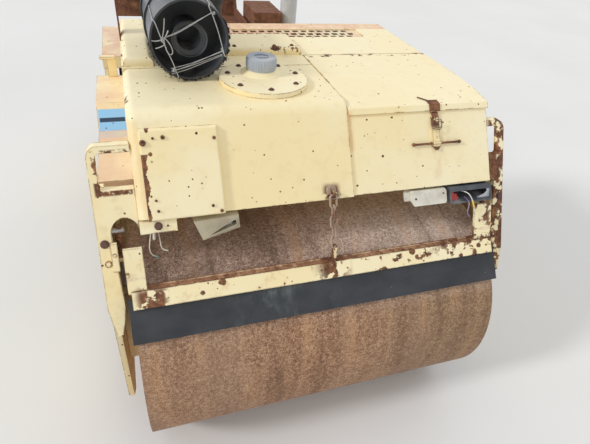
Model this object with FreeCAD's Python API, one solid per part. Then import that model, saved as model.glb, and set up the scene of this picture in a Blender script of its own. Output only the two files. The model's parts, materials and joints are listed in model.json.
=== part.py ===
import FreeCAD, Part
import math
import os

from FreeCAD import Rotation, Vector

# Compact articulated double-drum road roller, in millimetres.
# X runs across the machine, Y along it with the front end at -Y, Z up from the ground.
# Each drum module is drawn about its own axle with its outer end at -Y and then moved
# to its place: the front one is shifted, the rear one is also mirrored.
# The origin lies on the ground under the steering pivot, midway between the axles.

# Rolling gear
DRUM_WIDTH = 1200.0
DRUM_RADIUS = 380.0
DRUM_SHELL = 16.0
DRUM_DISC = 12.0
DRUM_DISC_INSET = 60.0
AXLE_RADIUS = 40.0
RUNNING_FIT = 0.05
DRUM_BOSS_RADIUS = 110.0
HOUSING_RADIUS = 125.0
HUB_CAP_RADIUS = 95.0
HUB_CAP_DEPTH = 8.0
SIDE_GAP = 45.0
RUNNING_GAP = 6.0
SEAT_GAP = 0.3

# Cross box between the drums, and the reach from it to the steering pivot
CROSS_BOX_Y = DRUM_RADIUS + 50.0
CROSS_BOX_DEPTH = 90.0
CROSS_BOX_LOW_Z = DRUM_RADIUS - 80.0
PIVOT_REACH = 380.0
AXLE_Y = CROSS_BOX_Y + CROSS_BOX_DEPTH + PIVOT_REACH

# Yoke, legs and rails, with heights counted from the side plates' top
PLATE_TOP_Z = 2 * DRUM_RADIUS + 40.0
CROSS_BOX_HIGH_Z = DRUM_RADIUS + 180.0
SIDE_PLATE = 18.0
LEG_PROUD = 4.0
LEG_DEPTH = 24.0
LEG_WIDTH = 48.0
LEG_CORNER = 28.0
LEG_TOP_Z = PLATE_TOP_Z + 286.0
LEG_FOOT_Z = PLATE_TOP_Z - 187.0
LEG_FOOT_HALF = 7.0
LEG_SHOULDER_Z = PLATE_TOP_Z - 153.0
LEG_SHOULDER_INSET = 8.0
LEG_TAPER_Z = PLATE_TOP_Z - 110.0
SLOPE_TOP_Y = 0.0
SLOPE_TOP_Z = PLATE_TOP_Z + 320.0
SLOPE = 0.52
PLATE_KNEE_Z = PLATE_TOP_Z - 140.0
PLATE_LOW_Z = DRUM_RADIUS - 130.0
PLATE_FOOT_DROP = 190.0
PLATE_FOOT_Y = (-150.0, 190.0)
RAIL_LEDGE_Z = PLATE_TOP_Z + 105.0
RAIL_TOP_Z = PLATE_TOP_Z + 180.0
RAIL_FRONT_Y = 98.0
RAIL_SLIT = 9.0
RAIL_STEP_Y = 437.0
RAIL_STEP_RUN = 73.0
RAIL_END_Y = 780.0
RAIL_END_DEPTH = 100.0
RAIL_HOOD_GAP = 5.0
POST_X = (-617.0, -583.0)
POST_DEPTH = 14.0
POST_HEIGHT = 72.0
POST_ARM = (24.0, 10.0)
CRADLE_DEPTH = 80.0
CRADLE_THICK = 15.0
CRADLE_PLACES = (180.0, 695.0)
LOOP_LOW_Z = PLATE_TOP_Z + 180.0
LOOP_TOP_BAR = 17.0
LOOP_SIDE_BAR = 22.0
LOOP_CORNER = 10.0
ARCH_TOP_Z = PLATE_TOP_Z + 112.0
ARCH_LEG_WIDTH = 36.0
TAB_Z = (PLATE_TOP_Z - 15.0, PLATE_TOP_Z + 55.0)
TAB_WIDTH = 18.0
TAB_THICK = 8.0

# Front hood
HOOD_LEFT = -555.0
HOOD_RIGHT = 595.0
HOOD_SPLIT = 83.0
HOOD_LOW_Y = -137.0
HOOD_LOW_Z = PLATE_TOP_Z + 118.0
HOOD_TOP_Y = 25.0
HOOD_TOP_Z = PLATE_TOP_Z + 360.0
HOOD_BEND = 55.0
HOOD_SIDE_BEND = 24.0
HOOD_FLOOR_Z = PLATE_TOP_Z + 105.0
HOOD_CHAMFER = 20.0
TANK_REAR_Y = 345.0
LOCKER_REAR_Y = 445.0
HOOD_REAR_Y = 868.0
SHEET = 4.0
PANEL_GAP = 5.0
LID_SEAT_GAP = 0.5
LOCKER_RECESS = 7.0
LOCKER_WALL = 22.0
LID_FOLD_ROUND = 5.0
LID_FOLD_DROP = 19.0
LID_KNEE_Y = 95.0
LID_KNEE_DROP = 6.0
LID_FLAT_Y = 210.0
LID_LIP = 17.0
LID_SIDE_LIP = 22.0
LID_SIDE_SHEET = 3.0
LID_REAR_REACH = 3.0
BAY_TOP_DROP = 40.0
BAY_REAR_GAP = 4.0
HOOD_SKIRT = 35.0

# Fittings on the hood
FLANGE_X = -130.0
FLANGE_Y = 203.0
FLANGE_RADIUS = 140.0
FLANGE_THICK = 16.0
NECK_Y = 240.0
NECK_RADIUS = 56.0
NECK_FLARE = 10.0
NECK_HEIGHT = 14.0
CAP_RADIUS = 47.0
CAP_HEIGHT = 38.0
CAP_ROUND = 4.0
CAP_RECESS = 10.0
CAP_RECESS_RADIUS = 24.0
CAP_GRIP_WIDTH = 12.0
COVER_LEFT = -529.0
COVER_WIDTH = 210.0
COVER_HIGH_Z = PLATE_TOP_Z + 322.0
COVER_THICK = 16.0
COVER_ROUND = 5.0
BULGE_HEIGHT = 26.0
BULGE_ROUND = 18.0
BULGE_LEFT = (6.0, 100.0)
BULGE_LEFT_Y = (363.0, 838.0)
BULGE_MIDDLE_X = (-205.0, 80.0)
BULGE_MIDDLE_Y = (455.0, 640.0)
GRILLE_LEFT = -430.0
GRILLE_RIGHT = 440.0
GRILLE_FRONT_Y = HOOD_REAR_Y - 196.0
GRILLE_ROWS = 3
GRILLE_PITCH = 37.0
GRILLE_HOLE = 25.0
GRILLE_PLATE = 3.0
GRILLE_BORDER = 10.0
CANISTER_X = -352.0
CANISTER_RADIUS = 115.0
CANISTER_BAND = 7.0
CANISTER_BAND_WIDTH = 16.0
CANISTER_BAND_PLACES = (158.0, 340.0)
CANISTER_FRONT_Y = 222.0
CANISTER_LENGTH = 380.0
CANISTER_WALL = 6.0
CANISTER_DEPTH = 130.0
CANISTER_TUBE = 42.0
CANISTER_TUBE_SETBACK = 30.0
BRACKET_THICK = 5.0
BRACKET_ARM = 35.0
BRACKET_HALF_HEIGHT = 30.0
BRACKET_POST_WIDTH = 45.0
BRACKET_POST_RISE = 60.0
KEEPER_X = 391.0
KEEPER_WIDTH = 38.0
KEEPER_PLATE = 4.0
KEEPER_REACH = 20.0
KEEPER_LEVER = (10.0, 42.0)
STRAP_WIDTH = 27.0
STRAP_LENGTH = 92.0
STRAP_THICK = 8.0
T_BAR_LENGTH = 171.0
T_BAR_RADIUS = 3.5
T_BAR_RISE = 11.0
T_BAR_STANDOFF = 8.0
T_BAR_TIP = 6.0
STRAP_KNOB = (7.0, 9.0)
STRAP_KNOB_DROP = 5.0
ENGINE_X = (-260.0, 320.0)
ENGINE_Y = (475.0, 790.0)
ENGINE_HEIGHT = 190.0

# Lamps and a bracket under the hood's front edge, faces in line with its slope
LAMP_TOP_GAP = 0.4
LAMP_TOP_DROP = 4.0
LEFT_LAMP = ((-410.0, 17.0), (-282.0, 11.0), (-281.0, 41.0), (-389.0, 62.0))
LEFT_LAMP_MOUTH = ((-383.0, 56.0), (-291.0, 19.0), (-289.0, 36.0))
LEFT_LAMP_DEPTH = 62.0
LEFT_LAMP_RIM = 5.0
RIGHT_LAMP_X = (287.0, 415.0)
RIGHT_LAMP_DROP = 45.0
RIGHT_LAMP_DEPTH = 42.0
RIGHT_LAMP_ROUND = 9.0
RIGHT_LAMP_RIM = (265.0, 421.0)
RIGHT_LAMP_RIM_PLACE = (15.0, 22.0)
TAIL_LAMP_X = (430.0, 594.0)
TAIL_LAMP_DROP = 51.0
TAIL_LAMP_DEPTH = 60.0
TAIL_LAMP_RIM = 4.0
LOOM_PLATE_X = (-554.0, -455.0)
LOOM_PLATE_DROP = 32.0
LOOM_PLATE_THICK = 3.0
LOOM_PLATE_FLANGE = 30.0
WIRE_RADIUS = 1.7
CORD_CUT = 0.45
# columns: x, y, z of the corners of each loose wire, in module places
LEFT_WIRES = (
    ((-522, -110, 901.2), (-523, -116, 876), (-534, -148, 848), (-537, -151, 822),
     (-530, -151, 800), (-514, -149, 792)),
    ((-508, -110, 901.2), (-508, -116, 876), (-505, -148, 842), (-503, -151, 818),
     (-486, -152, 813)),
    ((-516, -110, 901.2), (-517, -117, 877), (-521, -148, 856)),
)
TAIL_WIRES = (
    ((450, -127, 898), (478, -138, 896), (496, -158, 897), (502, -177, 885),
     (511, -183, 864), (520, -188, 844), (528, -193, 822)),
    ((497, -146, 873), (496, -180, 875), (494, -184, 849), (503, -179, 826),
     (521, -176, 806)),
)

# Scraper across the front of each drum, placed by angle above the axle and clearance
CREASE_ANGLE = 57.9
CREASE_CLEAR = 47.0
STRIP_ANGLE = 38.0
STRIP_CLEAR = 5.6
SCRAPER_STEEL = 8.0
SCRAPER_FLANGE = 50.0
SCRAPER_LEDGE = 26.0
FRONT_END_HEIGHT = 108.0
FRONT_ENDS = ((-606.0, -555.0), (530.0, 600.0))
REAR_END_HEIGHT = 50.0
REAR_ENDS = ((-598.0, -545.0), (545.0, 598.0))
STRIP_TUCK = 20.0
SCRAPER_END_GAP = 2.0
SCRAPER_EAR = 8.0
SCRAPER_PIN_RADIUS = 9.0
SCRAPER_PIN_RISE = 40.0
SCRAPER_PIN_INSET = 28.0
STRIP_THICK = 7.0
STRIP_OVERHANG = 10.0

# Chain that holds the scraper up
CHAIN_X = 8.0
CHAIN_WIRE = 7.0
LINK_INNER = 32.0
LINK_WIDTH = 14.0
EYE_HEIGHT = 21.0
EYE_HOLE = 6.0
EYE_PLATE = 6.0
EYE_RIM = 7.0
EYE_REACH = 18.0

# Steering pivot and cylinder
PIVOT_RADIUS = 25.0
PIVOT_PIN_PROUD = 10.0
TONGUE_PLATE = 25.0
TONGUE_HALF_WIDTH = 110.0
TONGUE_NOSE = 62.0
TONGUE_MID_Z = DRUM_RADIUS + 50.0
TONGUE_BLOCK = 130.0
TONGUE_GAP = 5.0
REAR_TONGUE_HALF = 66.0
STEER_X = -150.0
STEER_BASE_REACH = 50.0
STEER_EYE_Y = 30.0
STEER_BARREL_RADIUS = 25.0
STEER_BARREL_LENGTH = 245.0
STEER_BARREL_WALL = 8.0
STEER_CAP = 10.0
STEER_ROD_RADIUS = 14.0
STEER_PISTON_PLACE = 125.0
STEER_PISTON_LENGTH = 20.0
STEER_PIN_RADIUS = 11.0
STEER_EYE_RADIUS = 24.0
STEER_LUG = 14.0
STEER_LUG_GAP = 1.0

# Rear module: deck over the drum, floor, seat and controls
DECK_HEIGHT = 60.0
REAR_LAMP_X = 380.0
REAR_LAMP_WIDTH = 110.0
REAR_LAMP_HEIGHT = 44.0
REAR_LAMP_LIFT = 8.0
REAR_LAMP_DEPTH = 32.0
REAR_LEG_CORNER = 14.0
FLOOR_PLATE = 12.0
FLOOR_RISER = 6.0
FLOOR_FRONT_Y = 70.0
FLOOR_FRONT_HALF = 230.0
FLOOR_WIDE_Y = 300.0
FLOOR_WIDE_HALF = 560.0
SEAT_X = -120.0
SEAT_WIDTH = 460.0
SEAT_FRONT_REACH = 400.0
SEAT_DEPTH = 400.0
SEAT_BASE_HEIGHT = 90.0
SEAT_BASE_MARGIN = 70.0
SEAT_BASE_INSET = (30.0, 40.0)
SEAT_SHEET = 8.0
SEAT_SIDE_HEIGHT = 60.0
SEAT_SIDE_RISE = 180.0
SEAT_SIDE_CUTS = (30.0, 60.0)
SEAT_BACK_HEIGHT = 360.0
SEAT_BACK_LEAN = 50.0
CONSOLE_GAP = 20.0
CONSOLE_WIDTH = 155.0
CONSOLE_REACH = 410.0
CONSOLE_DEPTH = 270.0
CONSOLE_HEIGHT = 215.0
FILTER_GAP = 11.0
FILTER_REACH = 340.0
FILTER_RADIUS = 46.0
FILTER_HEIGHT = 290.0
COLUMN_Y = 190.0
COLUMN_LEAN = 45.0
COLUMN_TOP_Z = PLATE_TOP_Z + 380.0
COLUMN_RADIUS = 26.0
COLUMN_FOOT = (140.0, 120.0, 12.0)
WHEEL_RADIUS = 178.0
WHEEL_RIM = 13.0
WHEEL_RISE = 50.0
WHEEL_HUB_RADIUS = 34.0
WHEEL_HUB_DEPTH = 30.0
WHEEL_SPOKE_RADIUS = 7.0
WHEEL_SPOKES = 3

half_width = DRUM_WIDTH / 2
plate_in = half_width + SIDE_GAP
plate_out = plate_in + SIDE_PLATE
leg_out = plate_out + LEG_PROUD
leg_in = leg_out - LEG_WIDTH
hood_slope = (HOOD_TOP_Y - HOOD_LOW_Y) / (HOOD_TOP_Z - HOOD_LOW_Z)
cross_back_y = CROSS_BOX_Y + CROSS_BOX_DEPTH
deck_top = PLATE_TOP_Z + DECK_HEIGHT
floor_top = CROSS_BOX_HIGH_Z + FLOOR_PLATE
seat_front_y = AXLE_Y - SEAT_FRONT_REACH
steer_base_y = STEER_BASE_REACH - PIVOT_REACH


# Shape helpers

def block(x, y, z):
    """Box between the two values of each of three pairs."""
    low = Vector(min(x), min(y), min(z))
    return Part.makeBox(abs(x[1] - x[0]), abs(y[1] - y[0]), abs(z[1] - z[0]), low)


def bar(start, end, radius):
    """Round bar from one point to another."""
    first, last = Vector(*start), Vector(*end)
    return Part.makeCylinder(radius, (last - first).Length, first, last - first)


def flat(points):
    """Flat face through a list of 3-D corner points."""
    return Part.Face(Part.makePolygon(points + points[:1]))


def across(outline, x):
    """Outline of (y, z) points extruded along X between the two values of x."""
    return flat([Vector(x[0], y, z) for y, z in outline]).extrude(Vector(x[1] - x[0], 0, 0))


def upward(outline, z):
    """Outline of (x, y) points extruded along Z between the two values of z."""
    return flat([Vector(x, y, z[0]) for x, y in outline]).extrude(Vector(0, 0, z[1] - z[0]))


def joined(pieces):
    """One solid made of touching or overlapping pieces."""
    return pieces[0].fuse(pieces[1:]).removeSplitter()


def both_sides(shape):
    """The shape and its mirror image at the other side of the machine."""
    return [shape, shape.mirror(Vector(0, 0, 0), Vector(1, 0, 0))]


def rounded(shape, radius, chosen):
    """The shape with a fillet on each edge that the test picks by its centre."""
    edges = [edge for edge in shape.Edges if chosen(edge.CenterOfMass)]
    return shape.makeFillet(radius, edges)


def slope_y(z):
    """Y of the sloping plane down the front of the legs."""
    return SLOPE_TOP_Y - SLOPE * (SLOPE_TOP_Z - z)


def leg_back_y(z):
    """Y of the plane behind the front legs, where the side plates begin."""
    return slope_y(z) + LEG_DEPTH


def hood_y(z):
    """Y of the hood's sloping front face."""
    return HOOD_LOW_Y + hood_slope * (z - HOOD_LOW_Z)


def to_front(shape):
    """Moves a module's shape from its own axle to the front one."""
    moved = shape.copy()
    moved.translate(Vector(0, -AXLE_Y, 0))
    return moved


def to_rear(shape):
    """Moves a module's shape to the rear axle, with its outer end to the rear."""
    return to_front(shape).mirror(Vector(0, 0, 0), Vector(0, 1, 0))


def save(name, *shapes):
    """Writes one node's solids to its own file."""
    shape = shapes[0] if len(shapes) == 1 else Part.makeCompound(list(shapes))
    shape.exportStep("parts/" + name + ".step")


# Drum: rolled shell with an inset disc, a boss and a stub axle at each end

def drum():
    disc_out = half_width - DRUM_DISC_INSET
    disc_in = disc_out - DRUM_DISC
    inner = DRUM_RADIUS - DRUM_SHELL
    boss_end = half_width - 2 * RUNNING_GAP
    # columns: distance across the machine, radius
    profile = [
        (0, inner), (disc_in, inner), (disc_in, 0), (plate_out, 0),
        (plate_out, AXLE_RADIUS), (boss_end, AXLE_RADIUS),
        (boss_end, DRUM_BOSS_RADIUS), (disc_out, DRUM_BOSS_RADIUS),
        (disc_out, inner), (half_width, inner),
        (half_width, DRUM_RADIUS), (0, DRUM_RADIUS),
    ]
    face = flat([Vector(x, 0, DRUM_RADIUS + radius) for x, radius in profile])
    half = face.revolve(Vector(0, 0, DRUM_RADIUS), Vector(1, 0, 0), 360)
    return joined(both_sides(half))


# Yoke: side plates with axle housings, joined by a cross box between the drums

def yoke():
    foot_z = DRUM_RADIUS - PLATE_FOOT_DROP
    # columns: y, z
    outline = [
        (leg_back_y(PLATE_TOP_Z), PLATE_TOP_Z), (leg_back_y(PLATE_KNEE_Z), PLATE_KNEE_Z),
        (leg_back_y(PLATE_KNEE_Z), PLATE_LOW_Z), (PLATE_FOOT_Y[0], foot_z),
        (PLATE_FOOT_Y[1], foot_z), (cross_back_y, CROSS_BOX_LOW_Z),
        (cross_back_y, CROSS_BOX_HIGH_Z), (CROSS_BOX_Y, PLATE_TOP_Z),
    ]
    housing_in = half_width - RUNNING_GAP
    housing = bar((housing_in, 0, DRUM_RADIUS), (plate_in, 0, DRUM_RADIUS), HOUSING_RADIUS)
    bore = bar((housing_in, 0, DRUM_RADIUS), (leg_out, 0, DRUM_RADIUS),
               AXLE_RADIUS + RUNNING_FIT)
    side = joined([across(outline, (plate_in, plate_out)), housing]).cut(bore)
    cross = block((-plate_in, plate_in), (CROSS_BOX_Y, cross_back_y),
                  (CROSS_BOX_LOW_Z, CROSS_BOX_HIGH_Z))
    return joined(both_sides(side) + [cross])


def hub_caps():
    cap = bar((plate_out + SEAT_GAP, 0, DRUM_RADIUS),
              (plate_out + HUB_CAP_DEPTH, 0, DRUM_RADIUS), HUB_CAP_RADIUS)
    return both_sides(cap)


# Pivot between the modules: forked plates in front, a nose block behind, one pin

def nose_outline(half, root_y):
    """Tapering tongue from root_y to a round nose about the pivot, as (x, y) points."""
    steps = 12
    sign = 1 if root_y > 0 else -1
    arc = [math.pi * step / steps for step in range(steps + 1)]
    nose = [(TONGUE_NOSE * math.cos(a), -sign * TONGUE_NOSE * math.sin(a)) for a in arc]
    return [(-half, root_y), (half, root_y)] + nose


def front_tongue():
    root = -AXLE_Y + cross_back_y
    low = TONGUE_MID_Z - TONGUE_BLOCK / 2 - TONGUE_GAP
    high = TONGUE_MID_Z + TONGUE_BLOCK / 2 + TONGUE_GAP
    outline = nose_outline(TONGUE_HALF_WIDTH, root)
    plates = [upward(outline, (low - TONGUE_PLATE, low)),
              upward(outline, (high, high + TONGUE_PLATE))]
    hole = bar((0, 0, 0), (0, 0, HOOD_TOP_Z), PIVOT_RADIUS + RUNNING_FIT)
    return [plate.cut(hole) for plate in plates]


def rear_tongue():
    root = AXLE_Y - CROSS_BOX_Y - CROSS_BOX_DEPTH
    nose = upward(nose_outline(REAR_TONGUE_HALF, root),
                  (TONGUE_MID_Z - TONGUE_BLOCK / 2, TONGUE_MID_Z + TONGUE_BLOCK / 2))
    lug_z = (TONGUE_MID_Z - STEER_EYE_RADIUS - STEER_LUG - TONGUE_GAP,
             TONGUE_MID_Z - STEER_EYE_RADIUS - TONGUE_GAP)
    # columns: x, y
    wing = upward([
        (STEER_X - STEER_EYE_RADIUS, STEER_EYE_Y - STEER_EYE_RADIUS),
        (0, STEER_EYE_Y - STEER_EYE_RADIUS),
        (0, root), (-REAR_TONGUE_HALF, root),
        (STEER_X - STEER_EYE_RADIUS, STEER_EYE_Y + STEER_EYE_RADIUS),
    ], lug_z)
    eye_hole = bar((STEER_X, STEER_EYE_Y, 0), (STEER_X, STEER_EYE_Y, HOOD_TOP_Z),
                   STEER_PIN_RADIUS)
    hole = bar((0, 0, 0), (0, 0, HOOD_TOP_Z), PIVOT_RADIUS + RUNNING_FIT)
    return joined([nose, wing]).cut(hole).cut(eye_hole)


def pivot_pin():
    reach = TONGUE_BLOCK / 2 + TONGUE_GAP + TONGUE_PLATE + PIVOT_PIN_PROUD
    return bar((0, 0, TONGUE_MID_Z - reach), (0, 0, TONGUE_MID_Z + reach), PIVOT_RADIUS)


def steering_lug():
    """Forked lug on the front cross box that holds the cylinder's base pin."""
    root = -AXLE_Y + cross_back_y
    ears = []
    for side in (-1, 1):
        inner = TONGUE_MID_Z + side * (STEER_EYE_RADIUS + STEER_LUG_GAP)
        outer = inner + side * STEER_LUG
        ears.append(block((STEER_X - STEER_EYE_RADIUS, STEER_X + STEER_EYE_RADIUS),
                          (root, steer_base_y + STEER_EYE_RADIUS), (inner, outer)))
    pin = bar((STEER_X, steer_base_y, TONGUE_MID_Z - STEER_EYE_RADIUS - STEER_LUG),
              (STEER_X, steer_base_y, TONGUE_MID_Z + STEER_EYE_RADIUS + STEER_LUG),
              STEER_PIN_RADIUS)
    return joined(ears + [pin])


def steering_barrel():
    start = steer_base_y + STEER_EYE_RADIUS
    end = steer_base_y + STEER_BARREL_LENGTH
    places = (start - STEER_CAP, start + STEER_CAP, end - STEER_CAP, end)
    axis_at = [(STEER_X, y, TONGUE_MID_Z) for y in places]
    tube = bar(axis_at[0], axis_at[3], STEER_BARREL_RADIUS)
    bore = bar(axis_at[1], axis_at[2], STEER_BARREL_RADIUS - STEER_BARREL_WALL)
    gland = bar(axis_at[1], axis_at[3], STEER_ROD_RADIUS + RUNNING_FIT)
    eye = bar((STEER_X, steer_base_y, TONGUE_MID_Z - STEER_EYE_RADIUS),
              (STEER_X, steer_base_y, TONGUE_MID_Z + STEER_EYE_RADIUS), STEER_EYE_RADIUS)
    hole = bar((STEER_X, steer_base_y, 0), (STEER_X, steer_base_y, HOOD_TOP_Z),
               STEER_PIN_RADIUS + RUNNING_FIT)
    return joined([tube, eye]).cut(bore).cut(gland).cut(hole)


def steering_rod():
    inner_end = steer_base_y + STEER_PISTON_PLACE
    head = bar((STEER_X, inner_end, TONGUE_MID_Z),
               (STEER_X, inner_end + STEER_PISTON_LENGTH, TONGUE_MID_Z),
               STEER_BARREL_RADIUS - STEER_BARREL_WALL - SEAT_GAP)
    shaft = bar((STEER_X, inner_end, TONGUE_MID_Z),
                (STEER_X, STEER_EYE_Y - STEER_PIN_RADIUS, TONGUE_MID_Z), STEER_ROD_RADIUS)
    eye = bar((STEER_X, STEER_EYE_Y, TONGUE_MID_Z - STEER_EYE_RADIUS + 4),
              (STEER_X, STEER_EYE_Y, TONGUE_MID_Z + STEER_EYE_RADIUS - 4), STEER_EYE_RADIUS)
    hole = bar((STEER_X, STEER_EYE_Y, 0), (STEER_X, STEER_EYE_Y, HOOD_TOP_Z),
               STEER_PIN_RADIUS)
    return joined([head, shaft, eye]).cut(hole)


# Scraper: folded beam with upright ends, rubber strip whose edge runs along the drum

def by_drum(angle, clearance):
    """Point (0, y, z) at an angle above the axle's front side, off the drum's surface."""
    reach = DRUM_RADIUS + clearance
    turn = math.radians(angle)
    return Vector(0, -reach * math.cos(turn), DRUM_RADIUS + reach * math.sin(turn))


def scraper_line():
    """Crease point, downward direction and outward normal of the scraper's face."""
    crease = by_drum(CREASE_ANGLE, CREASE_CLEAR)
    low = by_drum(STRIP_ANGLE, STRIP_CLEAR)
    stack = SCRAPER_STEEL + SEAT_GAP + STRIP_THICK
    rough = (low - crease).normalize()
    low = low + Vector(0, rough.z, -rough.y) * stack
    run = (low - crease).normalize()
    return crease, low, run, Vector(0, run.z, -run.y)


def layer(top, low, inward, reach):
    """Flat strip across the machine between two lines, thickened by a vector."""
    corners = [top, low, low + inward, top + inward]
    return across([(point.y, point.z) for point in corners], (-reach, reach))


def chain_run():
    """Centre of the eye on the hood, the chain's direction and its number of links.

    The number is odd, so that the first and the last link both lie across the eyes.
    """
    eye_z = HOOD_LOW_Z + EYE_HEIGHT
    eye = Vector(CHAIN_X, hood_y(eye_z) - EYE_REACH, eye_z)
    crease = by_drum(CREASE_ANGLE, CREASE_CLEAR)
    way = crease + Vector(CHAIN_X, -EYE_HOLE / 2, EYE_RIM) - eye
    links = int(way.Length // (LINK_INNER - SEAT_GAP) - 1) // 2 * 2 + 1
    return eye, way.normalize(), links


def chain_eye(centre, root):
    """Lug with a hole at centre and a web to the root point, both in one plane."""
    half = Vector(EYE_PLATE / 2, 0, 0)
    rim = EYE_HOLE + EYE_RIM
    head = Part.makeCylinder(rim, EYE_PLATE, centre - half, half)
    side = (root - centre).normalize().cross(Vector(1, 0, 0)) * rim
    corners = [centre + side, centre - side, root - side, root + side]
    web = flat([corner - half for corner in corners]).extrude(half * 2)
    hole = Part.makeCylinder(EYE_HOLE, EYE_PLATE + 2, centre - half * 1.5, half)
    return joined([head, web]), hole


def scraper_beam(end_height, ends):
    """Folded beam with two upright end plates, each pinned to the side plate by an ear."""
    reach = half_width - SCRAPER_END_GAP
    crease, low, run, out = scraper_line()
    flange = layer(crease, crease + run * SCRAPER_FLANGE, out * -SCRAPER_STEEL, reach)
    under = crease.z - SCRAPER_STEEL
    ledge = block((-reach, reach), (crease.y + 2, crease.y + SCRAPER_LEDGE),
                  (under, crease.z))
    foot_y = crease.y + 1
    top_y = foot_y + SLOPE * end_height
    top = crease.z + end_height
    # columns: y, z
    upright = [(foot_y, under), (top_y, top), (top_y + SCRAPER_STEEL, top),
               (foot_y + SCRAPER_STEEL, under)]
    pin_z = crease.z + SCRAPER_PIN_RISE
    pin_y = leg_back_y(pin_z) + SCRAPER_PIN_INSET
    half = SCRAPER_PIN_RADIUS + SEAT_GAP
    web = [(foot_y + SLOPE * SCRAPER_PIN_RISE, pin_z - half), (pin_y, pin_z - half),
           (pin_y, pin_z + half), (foot_y + SLOPE * SCRAPER_PIN_RISE, pin_z + half)]
    pieces = [flange, ledge]
    for end, side in zip(ends, (-1, 1)):
        tip = max(end, key=abs)
        ear_x = (tip - side * SCRAPER_EAR, tip)
        pieces.append(across(upright, end))
        pieces.append(across(web, ear_x))
        pieces.append(bar((ear_x[0], pin_y, pin_z), (ear_x[1], pin_y, pin_z), half))
        pieces.append(bar((ear_x[0], pin_y, pin_z),
                          (side * (plate_in - SEAT_GAP), pin_y, pin_z),
                          SCRAPER_PIN_RADIUS))
    return joined(pieces)


def front_scraper():
    """Front beam with the lug that its chain holds."""
    eye, run, links = chain_run()
    centre = eye + run * (2 * (EYE_HOLE - SEAT_GAP) + links * (LINK_INNER - SEAT_GAP))
    crease = by_drum(CREASE_ANGLE, CREASE_CLEAR)
    lug, hole = chain_eye(centre, Vector(CHAIN_X, crease.y + SCRAPER_LEDGE / 2,
                                         crease.z - SCRAPER_STEEL / 2))
    return joined([scraper_beam(FRONT_END_HEIGHT, FRONT_ENDS), lug]).cut(hole)


def wiper_strip():
    crease, low, run, out = scraper_line()
    back = out * -(SCRAPER_STEEL + SEAT_GAP)
    top = crease + run * STRIP_TUCK + back
    return layer(top, low + back, out * -STRIP_THICK, half_width + STRIP_OVERHANG)


# Legs: sloping plates down the front of the yoke, with a tie-down loop on top

def sloping_plate(outline, radius, chosen):
    """Plate on the sloping front plane from its front view's (x, z) points.

    The edges that the test picks by their centre are rounded in that view.
    """
    face = flat([Vector(x, -AXLE_Y, z) for x, z in outline])
    prism = rounded(face.extrude(Vector(0, 2 * AXLE_Y, 0)), radius, chosen)
    low = min(z for x, z in outline) - 1
    high = max(z for x, z in outline) + 1
    slab = across([(slope_y(low), low), (slope_y(high), high),
                   (leg_back_y(high), high), (leg_back_y(low), low)], (0, leg_out))
    return prism.common(slab)


def leg_foot():
    """(x, z) points round the leg's tapering foot, from its outer to its inner edge."""
    middle = (leg_in + leg_out) / 2
    return [
        (leg_out, LEG_TAPER_Z), (leg_out - LEG_SHOULDER_INSET, LEG_SHOULDER_Z),
        (middle + LEG_FOOT_HALF, LEG_FOOT_Z), (middle - LEG_FOOT_HALF, LEG_FOOT_Z),
        (leg_in + LEG_SHOULDER_INSET, LEG_SHOULDER_Z), (leg_in, LEG_TAPER_Z),
    ]


def rear_leg():
    """Leg of the +X side that ends at the side plate's top."""
    outline = [(leg_in, PLATE_TOP_Z), (leg_out, PLATE_TOP_Z)] + leg_foot()
    return sloping_plate(outline, REAR_LEG_CORNER, lambda c: abs(c.x - leg_out) < 1
                         and abs(c.z - PLATE_TOP_Z) < 1)


def front_leg(hood_side):
    """Leg whose head reaches the hood's side, with a tie-down loop and an arch below."""
    inner_x = hood_side + SEAT_GAP
    arch_x = leg_out - ARCH_LEG_WIDTH
    radius = (arch_x - inner_x) / 2
    spring_z = ARCH_TOP_Z - radius
    outline = [(inner_x, LEG_TOP_Z), (leg_out, LEG_TOP_Z)] + leg_foot()
    outline += [(arch_x, spring_z), (inner_x, spring_z)]
    plate = sloping_plate(outline, LEG_CORNER, lambda c: abs(c.x - leg_out) < 1
                          and abs(c.z - LEG_TOP_Z) < 1)
    arch_at = ((arch_x + inner_x) / 2, -AXLE_Y, spring_z)
    arch = Part.makeCylinder(radius, 2 * AXLE_Y, Vector(*arch_at), Vector(0, 1, 0))
    mouth_x = leg_out - LOOP_SIDE_BAR
    loop = block((inner_x - 1, mouth_x), (-AXLE_Y, AXLE_Y),
                 (LOOP_LOW_Z, LEG_TOP_Z - LOOP_TOP_BAR))
    loop = rounded(loop, LOOP_CORNER, lambda c: abs(c.x - mouth_x) < 1 and abs(c.y) < 1
                   and abs(c.z - (LOOP_LOW_Z + LEG_TOP_Z - LOOP_TOP_BAR) / 2) > 1)
    return plate.cut(arch).cut(loop)


def leg_tab():
    """Small raised plate on the inner edge of the left leg's face."""
    low, high = TAB_Z
    return across([
        (slope_y(low) - TAB_THICK, low), (slope_y(high) - TAB_THICK, high),
        (slope_y(high) + 1, high), (slope_y(low) + 1, low),
    ], (-leg_in - TAB_WIDTH, -leg_in))


# Rails beside the hood, stepped up behind their front part, and the beams between

def side_rail(inner_x):
    # columns: y, z
    outline = [
        (RAIL_FRONT_Y, PLATE_TOP_Z), (RAIL_FRONT_Y, RAIL_LEDGE_Z),
        (RAIL_STEP_Y, RAIL_LEDGE_Z), (RAIL_STEP_Y + RAIL_STEP_RUN, RAIL_TOP_Z),
        (RAIL_END_Y, RAIL_TOP_Z), (RAIL_END_Y, RAIL_TOP_Z - RAIL_END_DEPTH),
        (CROSS_BOX_Y, PLATE_TOP_Z),
    ]
    return across(outline, (inner_x, plate_out))


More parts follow.
